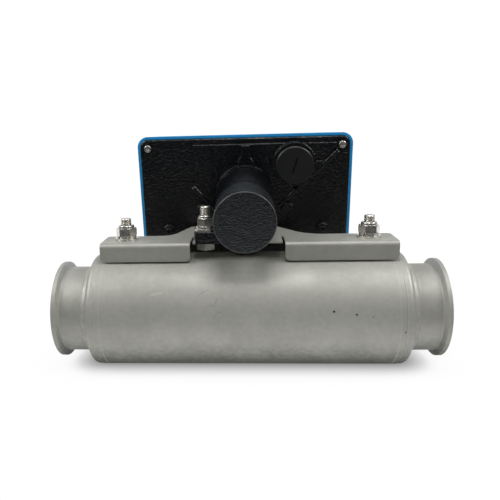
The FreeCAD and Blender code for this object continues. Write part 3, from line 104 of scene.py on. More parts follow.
class Graph:
    """Adds and joins the nodes of one shader tree."""

    def __init__(self, tree: bpy.types.NodeTree) -> None:
        """Keeps the tree that the nodes go into."""
        self.tree = tree

    def add(self, kind: str, settings: dict | None = None, inputs: dict | None = None) -> bpy.types.Node:
        """Adds one node.

        Args:
            kind: The node's type name, without its ShaderNode prefix.
            settings: Properties of the node.
            inputs: Socket name or index, and the value or the socket that feeds it.

        Returns:
            The new node.
        """
        node = self.tree.nodes.new("ShaderNode" + kind)
        for key, value in (settings or {}).items():
            setattr(node, key, value)
        for key, value in (inputs or {}).items():
            self.feed(value, node.inputs[key])
        return node

    def feed(self, value: object, socket: Socket) -> None:
        """Links a socket to an input, or sets the input's value.

        Args:
            value: A socket or a constant.
            socket: The input that takes it.
        """
        if isinstance(value, bpy.types.NodeSocket):
            self.tree.links.new(value, socket)
        else:
            socket.default_value = value

    def math(self, operation: str, first: object, second: object = 0.0, clamp: bool = False) -> Socket:
        """Puts two numbers through one operation."""
        node = self.add("Math", {"operation": operation, "use_clamp": clamp}, {0: first, 1: second})
        return node.outputs[0]

    def vector(self, operation: str, first: object, second: object = (0.0, 0.0, 0.0)) -> bpy.types.Node:
        """Puts two vectors through one operation."""
        return self.add("VectorMath", {"operation": operation}, {0: first, 1: second})

    def ramp(self, value: object, low: object, high: object, start: object = 0.0,
             end: object = 1.0) -> Socket:
        """Maps a range smoothly to another.

        Args:
            value: The number to map.
            low: The value that gives start.
            high: The value that gives end.
            start: The result at low and below.
            end: The result at high and above.

        Returns:
            The mapped number.
        """
        node = self.add("MapRange", {"interpolation_type": "SMOOTHSTEP"},
                        {"Value": value, "From Min": low, "From Max": high, "To Min": start, "To Max": end})
        return node.outputs["Result"]

    def blend(self, factor: object, first: object, second: object, mode: str = "MIX") -> Socket:
        """Mixes two colours.

        Args:
            factor: The share of the second colour.
            first: The colour at 0.
            second: The colour at 1.
            mode: How they are mixed.

        Returns:
            The mixed colour.
        """
        node = self.add("Mix", {"data_type": "RGBA", "blend_type": mode, "clamp_factor": True},
                        {0: factor, 6: opaque(first), 7: opaque(second)})
        return node.outputs[2]

    def noise(self, where: Socket, scale: object, detail: float = 2.0, roughness: float = 0.5,
              distortion: float = 0.0) -> Socket:
        """A noise value between about 0 and 1.

        Args:
            where: The coordinates.
            scale: Cells to a metre.
            detail: Octaves.
            roughness: Strength of the finer octaves.
            distortion: How far the cells are pulled about.

        Returns:
            The noise value.
        """
        node = self.add("TexNoise", {"noise_dimensions": "3D"},
                        {"Vector": where, "Scale": scale, "Detail": detail, "Roughness": roughness,
                         "Distortion": distortion})
        return node.outputs["Fac"]

    def place(self, stretch: Point = (1.0, 1.0, 1.0), offset: Point = (0.0, 0.0, 0.0)) -> Socket:
        """The piece's own coordinates in metres, stretched and moved.

        Args:
            stretch: How much each axis is stretched.
            offset: How far they are moved, in metres.

        Returns:
            The coordinates.
        """
        own = self.add("TexCoord").outputs["Object"]
        node = self.add("Mapping", {"vector_type": "POINT"},
                        {"Vector": own, "Location": offset, "Scale": stretch})
        return node.outputs["Vector"]

    def along(self, axis: str) -> Socket:
        """How far a point of the piece lies along one axis, in metres."""
        return self.add("SeparateXYZ", inputs={0: self.place()}).outputs[axis]

    def grey(self, value: Socket) -> Socket:
        """The grey that has one number in all its parts."""
        return self.add("CombineColor", inputs={0: value, 1: value, 2: value}).outputs[0]

    def scaled(self, vector: Socket, factor: object) -> Socket:
        """A vector times a number."""
        return self.add("VectorMath", {"operation": "SCALE"}, {0: vector, "Scale": factor}).outputs[0]

    def length(self, vector: Socket) -> Socket:
        """How long a vector is."""
        return self.vector("LENGTH", vector).outputs["Value"]

    def scaled_noise(self, size: Socket, where: Socket, **inputs: object) -> Socket:
        """A noise value whose cells have a size in metres.

        Args:
            size: The size of a cell.
            where: The coordinates.
            **inputs: The noise's other sockets, by name.

        Returns:
            The noise value.
        """
        scale = self.math("DIVIDE", 1.0, size)
        return self.add("TexNoise", inputs={"Vector": where, "Scale": scale, **inputs}).outputs["Fac"]

    def relief(self, height: Socket, depth: object) -> Socket:
        """The normal of a surface with a height on it."""
        return self.add("Bump", inputs={"Height": height, "Distance": depth}).outputs["Normal"]

    def join_normals(self, first: Socket, second: Socket) -> Socket:
        """Adds the tilt of the second normal to the first.

        Args:
            first: The normal that is kept.
            second: The normal whose tilt is added.

        Returns:
            The joined normal.
        """
        flat = self.add("NewGeometry").outputs["Normal"]
        tilt = self.vector("SUBTRACT", second, flat).outputs[0]
        both = self.vector("ADD", first, tilt).outputs[0]
        return self.vector("NORMALIZE", both).outputs[0]


def blank_tree(block: bpy.types.Material | bpy.types.World) -> Graph:
    """The empty shader tree of a new material or world.

    Args:
        block: The material or world.

    Returns:
        Its graph.
    """
    block.use_nodes = True
    block.node_tree.nodes.clear()
    return Graph(block.node_tree)


def shaded(colour: Colour, share: float, lift: float = 0.0) -> Colour:
    """A colour made darker or lighter.

    Args:
        colour: The colour.
        share: What it is multiplied by.
        lift: What is added to it.

    Returns:
        The new colour, never past white.
    """
    return tuple(min(1.0, part * share + lift) for part in colour)


def opaque(colour: object) -> object:
    """A three-part colour with full alpha, or the socket as it is."""
    return (*colour, 1.0) if isinstance(colour, tuple) and len(colour) == 3 else colour


class Effect(Enum):
    """The surface effects that more than one finish uses."""

    CLOUDS = "clouds"
    GRAIN = "grain"
    HAMMER = "hammer"
    EDGE = "edge"
    SPECK = "speck"
    SCRATCH = "scratch"


class Effects:
    """The shared shader groups, each built once.

    Its values are spans of noise, shares and numbers of cells to a metre.
    """

    CLOUD_SPAN = (0.32, 0.68)
    EDGE_SPAN = (0.02, 0.2)
    RIDGE_STRETCH = (0.78, 1.0, 1.0)
    WAVE_SCALE = 0.23
    WAVE_SHARE = 0.35
    SPECK_SCALE = 1600.0
    SPECK_RAGGED = 0.9
    SPECK_CORE = 0.15
    WAVER_SCALE = 260.0
    WAVER = 0.0035

    def __init__(self) -> None:
        """Builds every group."""
        makers = {Effect.CLOUDS: self.clouds, Effect.GRAIN: self.grain, Effect.HAMMER: self.hammer,
                  Effect.EDGE: self.edge, Effect.SPECK: self.speck, Effect.SCRATCH: self.scratch}
        self.trees = {kind: make(kind.value) for kind, make in makers.items()}

    def use(self, graph: Graph, kind: Effect, **inputs: object) -> bpy.types.Node:
        """Places one group in a material with its own values.

        Args:
            graph: The graph that it goes into.
            kind: Which group it is.
            **inputs: Socket values, by name.

        Returns:
            The group's node.
        """
        node = graph.add("Group", {"node_tree": self.trees[kind]})
        for key, value in inputs.items():
            graph.feed(value, node.inputs[key.capitalize()])
        return node

    @staticmethod
    def tree(name: str, inputs: dict[str, object],
             outputs: dict[str, str]) -> tuple[Graph, Socket, bpy.types.Node]:
        """An empty group with its sockets.

        Args:
            name: The group's name.
            inputs: Socket name and its default, a number or a vector.
            outputs: Socket name and its kind, Float or Vector.

        Returns:
            The graph, the group's inputs and its output node.
        """
        tree = bpy.data.node_groups.new(name, "ShaderNodeTree")
        for key, value in inputs.items():
            kind = "NodeSocketVector" if isinstance(value, tuple) else "NodeSocketFloat"
            socket = tree.interface.new_socket(key, in_out="INPUT", socket_type=kind)
            socket.default_value = value
        for key, kind in outputs.items():
            tree.interface.new_socket(key, in_out="OUTPUT", socket_type="NodeSocket" + kind)
        source = tree.nodes.new("NodeGroupInput")
        return Graph(tree), source.outputs, tree.nodes.new("NodeGroupOutput")

    def clouds(self, name: str) -> bpy.types.NodeTree:
        """Soft patches over a surface, from 0 to 1.

        Args:
            name: The group's name.

        Returns:
            The group's tree.
        """
        graph, given, out = self.tree(name, {"Size": 0.02, "Detail": 4.0}, {"Mask": "Float"})
        noise = graph.scaled_noise(given["Size"], graph.place(), Detail=given["Detail"])
        graph.feed(graph.ramp(noise, *self.CLOUD_SPAN), out.inputs["Mask"])
        return graph.tree

    def grain(self, name: str) -> bpy.types.NodeTree:
        """Fine blasted or moulded grain: a relief and a speckle.

        Args:
            name: The group's name.

        Returns:
            The group's tree.
        """
        graph, given, out = self.tree(name, {"Size": 0.0005, "Depth": 0.00002},
                                      {"Normal": "Vector", "Mask": "Float"})
        noise = graph.scaled_noise(given["Size"], graph.place(), Detail=3.0)
        graph.feed(graph.relief(noise, given["Depth"]), out.inputs["Normal"])
        graph.feed(noise, out.inputs["Mask"])
        return graph.tree

    def hammer(self, name: str) -> bpy.types.NodeTree:
        """The skin of a textured paint: flowing ridges between soft dimples.

        Args:
            name: The group's name.

        Returns:
            The group's tree.
        """
        graph, given, out = self.tree(name, {"Size": 0.002, "Depth": 0.0002, "Flow": 0.8},
                                      {"Normal": "Vector", "Mask": "Float"})
        where = graph.place(self.RIDGE_STRETCH)
        skin = graph.scaled_noise(given["Size"], where, Detail=1.6, Roughness=0.45, Distortion=given["Flow"])
        scale = graph.math("DIVIDE", 1.0, given["Size"])
        wide = graph.noise(where, graph.math("MULTIPLY", scale, self.WAVE_SCALE), 1.0)
        height = graph.math("ADD", skin, graph.math("MULTIPLY", wide, self.WAVE_SHARE))
        graph.feed(graph.relief(height, given["Depth"]), out.inputs["Normal"])
        graph.feed(skin, out.inputs["Mask"])
        return graph.tree

    def edge(self, name: str) -> bpy.types.NodeTree:
        """A rounded normal and a mask where a piece has a sharp edge.

        Args:
            name: The group's name.

        Returns:
            The group's tree.
        """
        graph, given, out = self.tree(name, {"Radius": 0.0004}, {"Normal": "Vector", "Mask": "Float"})
        soft = graph.add("Bevel", {"samples": 4}, {"Radius": given["Radius"]}).outputs["Normal"]
        flat = graph.add("NewGeometry").outputs["Normal"]
        facing = graph.vector("DOT_PRODUCT", soft, flat).outputs["Value"]
        graph.feed(soft, out.inputs["Normal"])
        graph.feed(graph.ramp(graph.math("SUBTRACT", 1.0, facing), *self.EDGE_SPAN), out.inputs["Mask"])
        return graph.tree

    def speck(self, name: str) -> bpy.types.NodeTree:
        """One small uneven spot around a point.

        Args:
            name: The group's name.

        Returns:
            The group's tree.
        """
        graph, given, out = self.tree(name, {"Centre": (0.0, 0.0, 0.0), "Radius": 0.001}, {"Mask": "Float"})
        where = graph.place()
        gap = graph.vector("DISTANCE", where, given["Centre"]).outputs["Value"]
        ragged = graph.math("MULTIPLY", graph.noise(where, self.SPECK_SCALE, 2.0), given["Radius"])
        reach = graph.math("SUBTRACT", gap, graph.math("MULTIPLY", ragged, self.SPECK_RAGGED))
        inner = graph.math("MULTIPLY", given["Radius"], self.SPECK_CORE)
        graph.feed(graph.ramp(reach, inner, given["Radius"], 1.0, 0.0), out.inputs["Mask"])
        return graph.tree

    def scratch(self, name: str) -> bpy.types.NodeTree:
        """One thin line between two points, a little wavy.

        Args:
            name: The group's name.

        Returns:
            The group's tree.
        """
        ends = {"Start": (0.0, 0.0, 0.0), "End": (0.0, 0.0, 0.0)}
        graph, given, out = self.tree(name, {**ends, "Width": 0.0003}, {"Mask": "Float"})
        own = graph.place()
        wave = graph.add("TexNoise", inputs={"Vector": own, "Scale": self.WAVER_SCALE, "Detail": 1.0})
        centred = graph.vector("SUBTRACT", wave.outputs["Color"], (0.5, 0.5, 0.5)).outputs[0]
        where = graph.vector("ADD", own, graph.scaled(centred, self.WAVER)).outputs[0]
        along = graph.vector("SUBTRACT", given["End"], given["Start"]).outputs[0]
        from_start = graph.vector("SUBTRACT", where, given["Start"]).outputs[0]
        share = graph.math("DIVIDE", graph.vector("DOT_PRODUCT", from_start, along).outputs["Value"],
                           graph.vector("DOT_PRODUCT", along, along).outputs["Value"], clamp=True)
        gap = graph.vector("DISTANCE", from_start, graph.scaled(along, share)).outputs["Value"]
        graph.feed(graph.ramp(gap, 0.0, given["Width"], 1.0, 0.0), out.inputs["Mask"])
        return graph.tree


@dataclass(frozen=True)
class Mark:
    """A speck or a scratch on the shell, with how dark or bright it is beside the metal.

    A place is how far it lies along the pipe, in millimetres, and how far it is turned above the level of the
    pipe's axis on the side that has the neck, in degrees.
    """

    start: tuple[float, float]
    end: tuple[float, float] | None
    width: float
    shade: float

    @staticmethod
    def on_shell(place: tuple[float, float]) -> Point:
        """The point of a place, in metres.

        Args:
            place: A place on the shell.

        Returns:
            The point, in metres.
        """
        radius = -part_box("body_shell")[0].z
        turn = math.radians(place[1])
        return place[0] * MM, -radius * math.cos(turn), radius * math.sin(turn)


@dataclass(frozen=True)
class Finish:
    """What every finish has: a name, a colour and a roughness."""

    name: str
    colour: Colour
    roughness: float

    def material(self, effects: Effects) -> bpy.types.Material:
        """Makes the material and lets the finish fill it.

        Args:
            effects: The shared groups.

        Returns:
            The material.
        """
        made = bpy.data.materials.new(self.name)
        graph = blank_tree(made)
        shader = graph.add("BsdfPrincipled")
        out = graph.add("OutputMaterial")
        graph.feed(shader.outputs["BSDF"], out.inputs["Surface"])
        self.fill(graph, shader.inputs, effects)
        return made

    def fill(self, graph: Graph, surface: Socket, effects: Effects) -> None:
        """Feeds the shader's sockets; each finish has its own way."""
        raise NotImplementedError


@dataclass(frozen=True)
class Skin(Finish):
    """A solid finish with soft clouds, a fine relief and lightened edges, partly rubbed and partly painted
    highlight.
    """

    cloud: float = 0.02
    edge_radius: float = 0.0004
    wear_and_glint: float = 0.45
    worn_and_glint_tone: tuple[float, float] = (1.35, 0.01)
    uneven: tuple[float, float] = (0.04, 0.04)

    def clouds(self, graph: Graph, effects: Effects) -> Socket:
        """The mask of the soft clouds."""
        return effects.use(graph, Effect.CLOUDS, size=self.cloud).outputs["Mask"]

    def cover(self, graph: Graph, surface: Socket, effects: Effects, colour: Socket, clouds: Socket,
              relief: Socket) -> None:
        """Feeds the colour with its lightened edges, partly rubbed and partly painted highlight, the
        roughness and the normal.

        Args:
            graph: The material's graph.
            surface: The shader's sockets.
            effects: The shared groups.
            colour: The colour without the lightened edges.
            clouds: The mask that the roughness follows.
            relief: The normal of the fine relief.
        """
        edge = effects.use(graph, Effect.EDGE, radius=self.edge_radius)
        # Lightened edges: rubbed on the metals, and a painted highlight on the black paints.
        edges = graph.math("MULTIPLY", edge.outputs["Mask"], self.wear_and_glint)
        graph.feed(graph.blend(edges, colour, shaded(self.colour, *self.worn_and_glint_tone)), surface["Base Color"])
        more, less = self.uneven
        rough = graph.ramp(clouds, 0.0, 1.0, self.roughness + more, self.roughness - less)
        graph.feed(rough, surface["Roughness"])
        graph.feed(graph.join_normals(edge.outputs["Normal"], relief), surface["Normal"])


@dataclass(frozen=True)
class Blasted(Skin):
    """Bead-blasted or satin metal: fine grain, soft clouds, brighter edges, single marks and painted shade on
    the underside.
    """

    cloud: float = 0.03
    edge_radius: float = 0.0003
    wear_and_glint: float = 0.6
    worn_and_glint_tone: tuple[float, float] = (1.35, 0.0)
    uneven: tuple[float, float] = (0.04, 0.03)
    grain: float = 0.0005
    depth: float = 0.00003
    patchy: float = 0.10
    metallic: float = 0.45
    specular: float = 0.1
    haze: Colour = (0.95, 0.95, 0.92)
    haze_share: float = 0.05
    fine: float = 0.16
    speckle: tuple[float, float] = (0.94, 1.05)
    # Painted shade on the underside: its share, tone, ragged edge and height span.
    grime_and_painted_shade: float = 0.95
    painted_shade_tone: float = 0.06
    painted_shade_ragged: float = 0.002
    painted_shade_span: tuple[float, float] = (-0.048, -0.012)
    marks: tuple[Mark, ...] = ()
    seams: tuple[float, ...] = ()
    seam_shade: float = 1.25
    seam_share: float = 0.38

    def fill(self, graph: Graph, surface: Socket, effects: Effects) -> None:
        """Feeds colour, roughness and normal of the metal.

        Args:
            graph: The graph that it goes into.
            surface: The shader's sockets.
            effects: The shared groups.
        """
        clouds = self.clouds(graph, effects)
        fine = effects.use(graph, Effect.CLOUDS, size=self.cloud * self.fine, detail=2.0).outputs["Mask"]
        grain = effects.use(graph, Effect.GRAIN, size=self.grain, depth=self.depth)
        colour = graph.blend(clouds, shaded(self.colour, 1.0 - self.patchy), self.colour)
        colour = graph.blend(graph.math("MULTIPLY", fine, self.haze_share), colour, self.haze)
        speckle = graph.ramp(grain.outputs["Mask"], 0.3, 0.7, *self.speckle)
        colour = graph.blend(1.0, colour, graph.grey(speckle), "MULTIPLY")
        colour = self.add_painted_underside_shade(graph, colour, fine)
        colour = self.add_marks(graph, colour, effects)
        colour = self.add_seams(graph, colour)
        surface["Metallic"].default_value = self.metallic
        surface["Specular IOR Level"].default_value = self.specular
        self.cover(graph, surface, effects, colour, clouds, grain.outputs["Normal"])

    def add_painted_underside_shade(self, graph: Graph, colour: Socket, patches: Socket) -> Socket:
        """Darkens the colour towards the bottom of the piece: painted shade on the underside, where the pipe
        lies near the floor.

        Args:
            graph: The material's graph.
            colour: The colour so far.
            patches: A mask that makes the edge of the painted shade ragged.

        Returns:
            The colour with the painted shade.
        """
        # Painted shade: the colour darkens towards the bottom of the piece.
        ragged = graph.math("ADD", graph.along("Z"), graph.math("MULTIPLY", patches, self.painted_shade_ragged))
        low, high = self.painted_shade_span
        mask = graph.ramp(ragged, low, high, self.grime_and_painted_shade, 0.0)
        return graph.blend(mask, colour, shaded(self.colour, self.painted_shade_tone))

    def add_marks(self, graph: Graph, colour: Socket, effects: Effects) -> Socket:
        """Darkens or brightens the colour at each mark.

        Args:
            graph: The graph that it goes into.
            colour: The colour so far.
            effects: The shared groups.

        Returns:
            The colour with the marks.
        """
        for mark in self.marks:
            start = mark.on_shell(mark.start)
            if mark.end is None:
                mask = effects.use(graph, Effect.SPECK, centre=start, radius=mark.width * MM)
            else:
                end = mark.on_shell(mark.end)
                mask = effects.use(graph, Effect.SCRATCH, start=start, end=end, width=mark.width * MM)
            colour = graph.blend(mask.outputs["Mask"], colour, shaded(self.colour, mark.shade))
        return colour

    def add_seams(self, graph: Graph, colour: Socket) -> Socket:
        """Draws faint round seams at distances from the middle of the pipe.

        Args:
            graph: The graph that it goes into.
            colour: The colour so far.

        Returns:
            The colour with the seams.
        """
        if not self.seams:
            return colour
        axial = graph.math("ABSOLUTE", graph.along("X"))
        wave = graph.math("MULTIPLY", graph.noise(graph.place(), 90.0, 2.0), 0.0006)
        for seam in self.seams:
            offset = graph.math("SUBTRACT", graph.math("ADD", axial, wave), seam * MM + 0.0003)
            mask = graph.ramp(graph.math("ABSOLUTE", offset), 0.0001, 0.0007, self.seam_share, 0.0)
            colour = graph.blend(mask, colour, shaded(self.colour, self.seam_shade))
        return colour


@dataclass(frozen=True)
class Polished(Skin):
    """Bright turned steel with faint rings and a few dull, dirty patches."""

    cloud: float = 0.004
    edge_radius: float = 0.0003
    wear_and_glint: float = 0.0
    uneven: tuple[float, float] = (0.1, 0.0)
    rings: float = 0.0004
    depth: float = 0.00001
    # On turned steel this share only dulls random patches.
    grime_and_painted_shade: float = 0.35

    def fill(self, graph: Graph, surface: Socket, effects: Effects) -> None:
        """Feeds a bright metal with dull patches.

        Args:
            graph: The graph that it goes into.
            surface: The shader's sockets.
            effects: The shared groups.
        """
        grain = effects.use(graph, Effect.GRAIN, size=self.rings, depth=self.depth)
        clouds = self.clouds(graph, effects)
        colour = graph.blend(clouds, shaded(self.colour, 1.0 - self.grime_and_painted_shade), self.colour)
        surface["Metallic"].default_value = 1.0
        self.cover(graph, surface, effects, colour, clouds, grain.outputs["Normal"])


@dataclass(frozen=True)
class Hammered(Skin):
    """Textured paint over a casting."""

    cloud: float = 0.018
    edge_radius: float = 0.0007
    # The edges are lightened strongly: painted glints on ribs and rims.
    wear_and_glint: float = 0.8
    worn_and_glint_tone: tuple[float, float] = (2.2, 0.03)
    uneven: tuple[float, float] = (0.05, 0.04)
    size: float = 0.0021
    depth: float = 0.0008
    flow: float = 0.35
    lit: tuple[float, float] = (1.5, 0.002)
    specular: float = 0.5

    def fill(self, graph: Graph, surface: Socket, effects: Effects) -> None:
        """Feeds the paint's colour, its relief and its thin gloss.

        Args:
            graph: The graph that it goes into.
            surface: The shader's sockets.
            effects: The shared groups.
        """
        skin = effects.use(graph, Effect.HAMMER, size=self.size, depth=self.depth, flow=self.flow)
        clouds = self.clouds(graph, effects)
        ridges = graph.math("MULTIPLY", skin.outputs["Mask"], clouds)
        colour = graph.blend(ridges, self.colour, shaded(self.colour, *self.lit))
        surface["Specular IOR Level"].default_value = self.specular
        self.cover(graph, surface, effects, colour, clouds, skin.outputs["Normal"])


@dataclass(frozen=True)
class Moulded(Skin):
    """Plastic, rubber, smooth paint or board: a fine grain and soft clouds."""

    grain: float = 0.0006
    depth: float = 0.00002
    specular: float = 0.5
    coat: float = 0.0
    metallic: float = 0.0
    patchy: float = 0.12

    def fill(self, graph: Graph, surface: Socket, effects: Effects) -> None:
        """Feeds the colour, the grain and the gloss.

        Args:
            graph: The graph that it goes into.
            surface: The shader's sockets.
            effects: The shared groups.
        """
        grain = effects.use(graph, Effect.GRAIN, size=self.grain, depth=self.depth)
        clouds = self.clouds(graph, effects)
        colour = graph.blend(clouds, shaded(self.colour, 1.0 - self.patchy), self.colour)
        surface["Metallic"].default_value = self.metallic
        surface["Specular IOR Level"].default_value = self.specular
        surface["Coat Weight"].default_value = self.coat
        surface["Coat Roughness"].default_value = 0.1
        self.cover(graph, surface, effects, colour, clouds, grain.outputs["Normal"])


@dataclass(frozen=True)
class Pane(Finish):
    """Clear plastic with a faint haze."""

    cloud: float = 0.012
    refraction: float = 1.49

    def fill(self, graph: Graph, surface: Socket, effects: Effects) -> None:
        """Feeds a clear, nearly smooth surface.

        Args:
            graph: The graph that it goes into.
            surface: The shader's sockets.
            effects: The shared groups.
        """
        haze = effects.use(graph, Effect.CLOUDS, size=self.cloud).outputs["Mask"]
        surface["Base Color"].default_value = opaque(self.colour)
        graph.feed(graph.ramp(haze, 0.0, 1.0, self.roughness, self.roughness + 0.04), surface["Roughness"])
        surface["IOR"].default_value = self.refraction
        surface["Transmission Weight"].default_value = 1.0


@dataclass(frozen=True)
class Wound(Finish):
    """Enamelled wire laid side by side."""

    wire: float = 0.0009
    groove_depth: float = -0.0002
    cloud: float = 0.01
    dark: float = 0.7

    def fill(self, graph: Graph, surface: Socket, effects: Effects) -> None:
        """Feeds copper with a groove between neighbouring wires.

        Args:
            graph: The graph that it goes into.
            surface: The shader's sockets.
            effects: The shared groups.
        """
        turn = graph.math("FRACT", graph.math("DIVIDE", graph.along("X"), self.wire))
        groove = graph.math("ABSOLUTE", graph.math("SUBTRACT", turn, 0.5))
        clouds = effects.use(graph, Effect.CLOUDS, size=self.cloud).outputs["Mask"]
        dark = shaded(self.colour, self.dark)
        colour = graph.blend(graph.ramp(groove, 0.3, 0.5), graph.blend(clouds, dark, self.colour), dark)
        graph.feed(colour, surface["Base Color"])
        surface["Metallic"].default_value = 1.0
        surface["Roughness"].default_value = self.roughness
        graph.feed(graph.relief(groove, self.groove_depth), surface["Normal"])


BODY_MARKS = (
    Mark((74.6, 14.4), None, 1.0, 0.05),
    Mark((93.8, 11.6), None, 0.9, 0.05),
    Mark((107.5, 9.2), None, 0.6, 0.40),
    Mark((135.5, -5.5), None, 0.8, 0.25),
    Mark((-43.0, 30.0), (-33.5, 35.5), 0.9, 0.72),
    Mark((-33.0, 21.0), (-28.0, 20.0), 0.8, 0.72),
    Mark((-28.0, 20.0), (-25.5, 27.5), 0.8, 0.74),
    Mark((-30.0, 8.5), (-23.5, 15.0), 0.9, 0.76),
    Mark((-102.0, 18.0), (-96.0, 21.0), 2.4, 0.88),
    Mark((-84.0, 31.0), (-75.0, 33.0), 1.6, 1.15),
)

STEEL = (0.43, 0.428, 0.388)

FINISHES: dict[str, Finish] = {finish.name: finish for finish in (
    Blasted("shell_steel", STEEL, 0.50, marks=BODY_MARKS, seams=(131.4,)),
    Blasted("blasted_stainless", STEEL, 0.50),
    Blasted("sheet_stainless", STEEL, 0.46, grain=0.0004, depth=0.00002, cloud=0.05, patchy=0.08,
            edge_radius=0.0005),
    Polished("polished_stainless", (0.80, 0.78, 0.73), 0.22, grime_and_painted_shade=0.2),
    Polished("thread_steel", (0.72, 0.70, 0.64), 0.26, grime_and_painted_shade=0.3),
    Blasted("weld_steel", (0.46, 0.457, 0.415), 0.50, cloud=0.006, patchy=0.16),
    Moulded("plain_steel", (0.30, 0.30, 0.31), 0.42, metallic=1.0),
    Wound("winding", (0.60, 0.22, 0.08), 0.35),
    Moulded("liner_plastic", (0.80, 0.79, 0.74), 0.35),
    Hammered("black_paint", (0.0020, 0.0026, 0.0036), 0.17, depth=0.0008, specular=0.45),
    # The cap's edges are lightened far more: a painted highlight round its rim.
    Hammered("cap_paint", (0.0062, 0.0080, 0.0100), 0.22, size=0.0013, depth=0.0009,
             worn_and_glint_tone=(2.2, 0.16)),
    Moulded("blue_paint", (0.022, 0.40, 0.90), 0.34, grain=0.0009, depth=0.00006, coat=0.25,
            edge_radius=0.0006),
    # A light grey for the ring on the cap's rim: a painted highlight.
    Moulded("rim_highlight_paint", (0.13, 0.135, 0.14), 0.34, metallic=0.5),
    Moulded("black_plastic", (0.009, 0.0095, 0.0105), 0.42, specular=0.4),
    Moulded("grey_plastic", (0.16, 0.165, 0.17), 0.45),
    Moulded("seal_rubber", (0.016, 0.016, 0.016), 0.62),
    Pane("clear_pane", (0.92, 0.95, 0.95), 0.03),
    Moulded("screen", (0.10, 0.135, 0.10), 0.22, depth=0.000005),
    Moulded("board_laminate", (0.012, 0.10, 0.035), 0.35),
    Moulded("component", (0.03, 0.03, 0.033), 0.5),
)}

NODE_FINISH = {"body_shell": "shell_steel", "neck_cap": "cap_paint"}


def add_circle(work: bmesh.types.BMesh, corners: int, radius: float,
               capped: bool = False) -> tuple[list, list]:
    """Adds a circle around Z at the origin.

    Args:
        work: The mesh that it goes into.
        corners: How many corners it has.
        radius: Its radius in millimetres.
        capped: Whether a face fills it.

    Returns:
        Its corners and its edges.
    """
    made = bmesh.ops.create_circle(work, cap_ends=capped, segments=corners, radius=radius * MM)
    verts = made["verts"]
    return verts, list({edge for vert in verts for edge in vert.link_edges})


def extruded(work: bmesh.types.BMesh, edges: list) -> tuple[list, list]:
    """Extrudes a loop of edges and returns the new corners and edges.

    Args:
        work: The mesh that it goes into.
        edges: The loop's edges.

    Returns:
        The new corners and edges.
    """
    made = bmesh.ops.extrude_edge_only(work, edges=edges)["geom"]
    verts = [item for item in made if isinstance(item, bmesh.types.BMVert)]
    return verts, [item for item in made if isinstance(item, bmesh.types.BMEdge)]


def add_ring(work: bmesh.types.BMesh, corners: int, section_r: float, at: tuple[float, float], axis: str,
             steps: int, spread: float = 1.0) -> None:
    """Adds a closed ring around an axis through the origin.

    Args:
        work: The mesh that it goes into.
        corners: Corners of its section.
        section_r: Radius of its section, in millimetres.
        at: Where its middle lies along the axis, and its radius, in millimetres.
        axis: The axis, X or Y.
        steps: Sections around the axis.
        spread: How much wider along the axis than thick it is.
    """
    along, ring_r = at
    line = Vector((1.0, 0.0, 0.0)) if axis == "X" else Vector((0.0, 1.0, 0.0))
    verts, edges = add_circle(work, corners, section_r)
    quarter = Matrix.Rotation(math.radians(90), 3, axis)
    bmesh.ops.rotate(work, verts=verts, cent=(0.0, 0.0, 0.0), matrix=quarter)
    bmesh.ops.scale(work, verts=verts, vec=Vector((1.0, 1.0, 1.0)) + line * (spread - 1.0))
    bmesh.ops.translate(work, verts=verts, vec=(line * along + Vector((0.0, 0.0, ring_r))) * MM)
    bmesh.ops.spin(work, geom=verts + edges, cent=(0.0, 0.0, 0.0), axis=line, dvec=(0.0, 0.0, 0.0),
                   angle=math.tau, steps=steps, use_merge=True, use_duplicate=False)


def join_part(work: bmesh.types.BMesh, part: bmesh.types.BMesh) -> None:
    """Moves one working mesh into another and frees it.

    Args:
        work: The mesh that it goes into.
        part: The mesh that is joined and freed.
    """
    mesh = bpy.data.meshes.new("part")
    part.to_mesh(mesh)
    part.free()
    work.from_mesh(mesh)
    bpy.data.meshes.remove(mesh)


def finished_mesh(work: bmesh.types.BMesh, name: str, smooth: bool = False) -> bpy.types.Object:
    """Turns a closed working mesh into a piece that rides on the meter.

    Args:
        work: The working mesh, in metres; it is freed.
        name: The piece's name.
        smooth: Whether its faces are shaded smooth.

    Returns:
        The new piece.
    """
    bmesh.ops.remove_doubles(work, verts=work.verts, dist=CLOSE)
    bmesh.ops.recalc_face_normals(work, faces=work.faces)
    mesh = bpy.data.meshes.new(name)
    work.to_mesh(mesh)
    work.free()
    for face in mesh.polygons:
        face.use_smooth = smooth
    piece = bpy.data.objects.new(name, mesh)
    bpy.context.collection.objects.link(piece)
    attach(piece, METER)
    LOG.info("%s: %d faces", name, len(mesh.polygons))
    return piece


class Turning:
    """A loop of edges that is pulled along Z and widened or narrowed, as on a lathe."""

    def __init__(self, work: bmesh.types.BMesh, corners: int, radius: float, height: float) -> None:
        """Starts with one open circle.

        Args:
            work: The mesh that it goes into.
            corners: How many corners it has.
            radius: Its radius in millimetres.
            height: Its height in millimetres.
        """
        self.work = work
        self.verts, self.edges = add_circle(work, corners, radius)
        self.radius, self.height = radius, height
        bmesh.ops.translate(work, verts=self.verts, vec=(0.0, 0.0, height * MM))

    def pull(self, *steps: tuple[float, float]) -> "Turning":
        """Extrudes the loop to each radius and height in turn, in millimetres.

        Args:
            *steps: Each radius and height.

        Returns:
            The turning itself.
        """
        for radius, height in steps:
            self.verts, self.edges = extruded(self.work, self.edges)
            share = radius / self.radius
            bmesh.ops.scale(self.work, verts=self.verts, vec=(share, share, 1.0))
            bmesh.ops.translate(self.work, verts=self.verts, vec=(0.0, 0.0, (height - self.height) * MM))
            self.radius, self.height = radius, height
        return self

    def close(self) -> None:
        """Fills the loop with one face."""
        bmesh.ops.contextual_create(self.work, geom=self.edges)


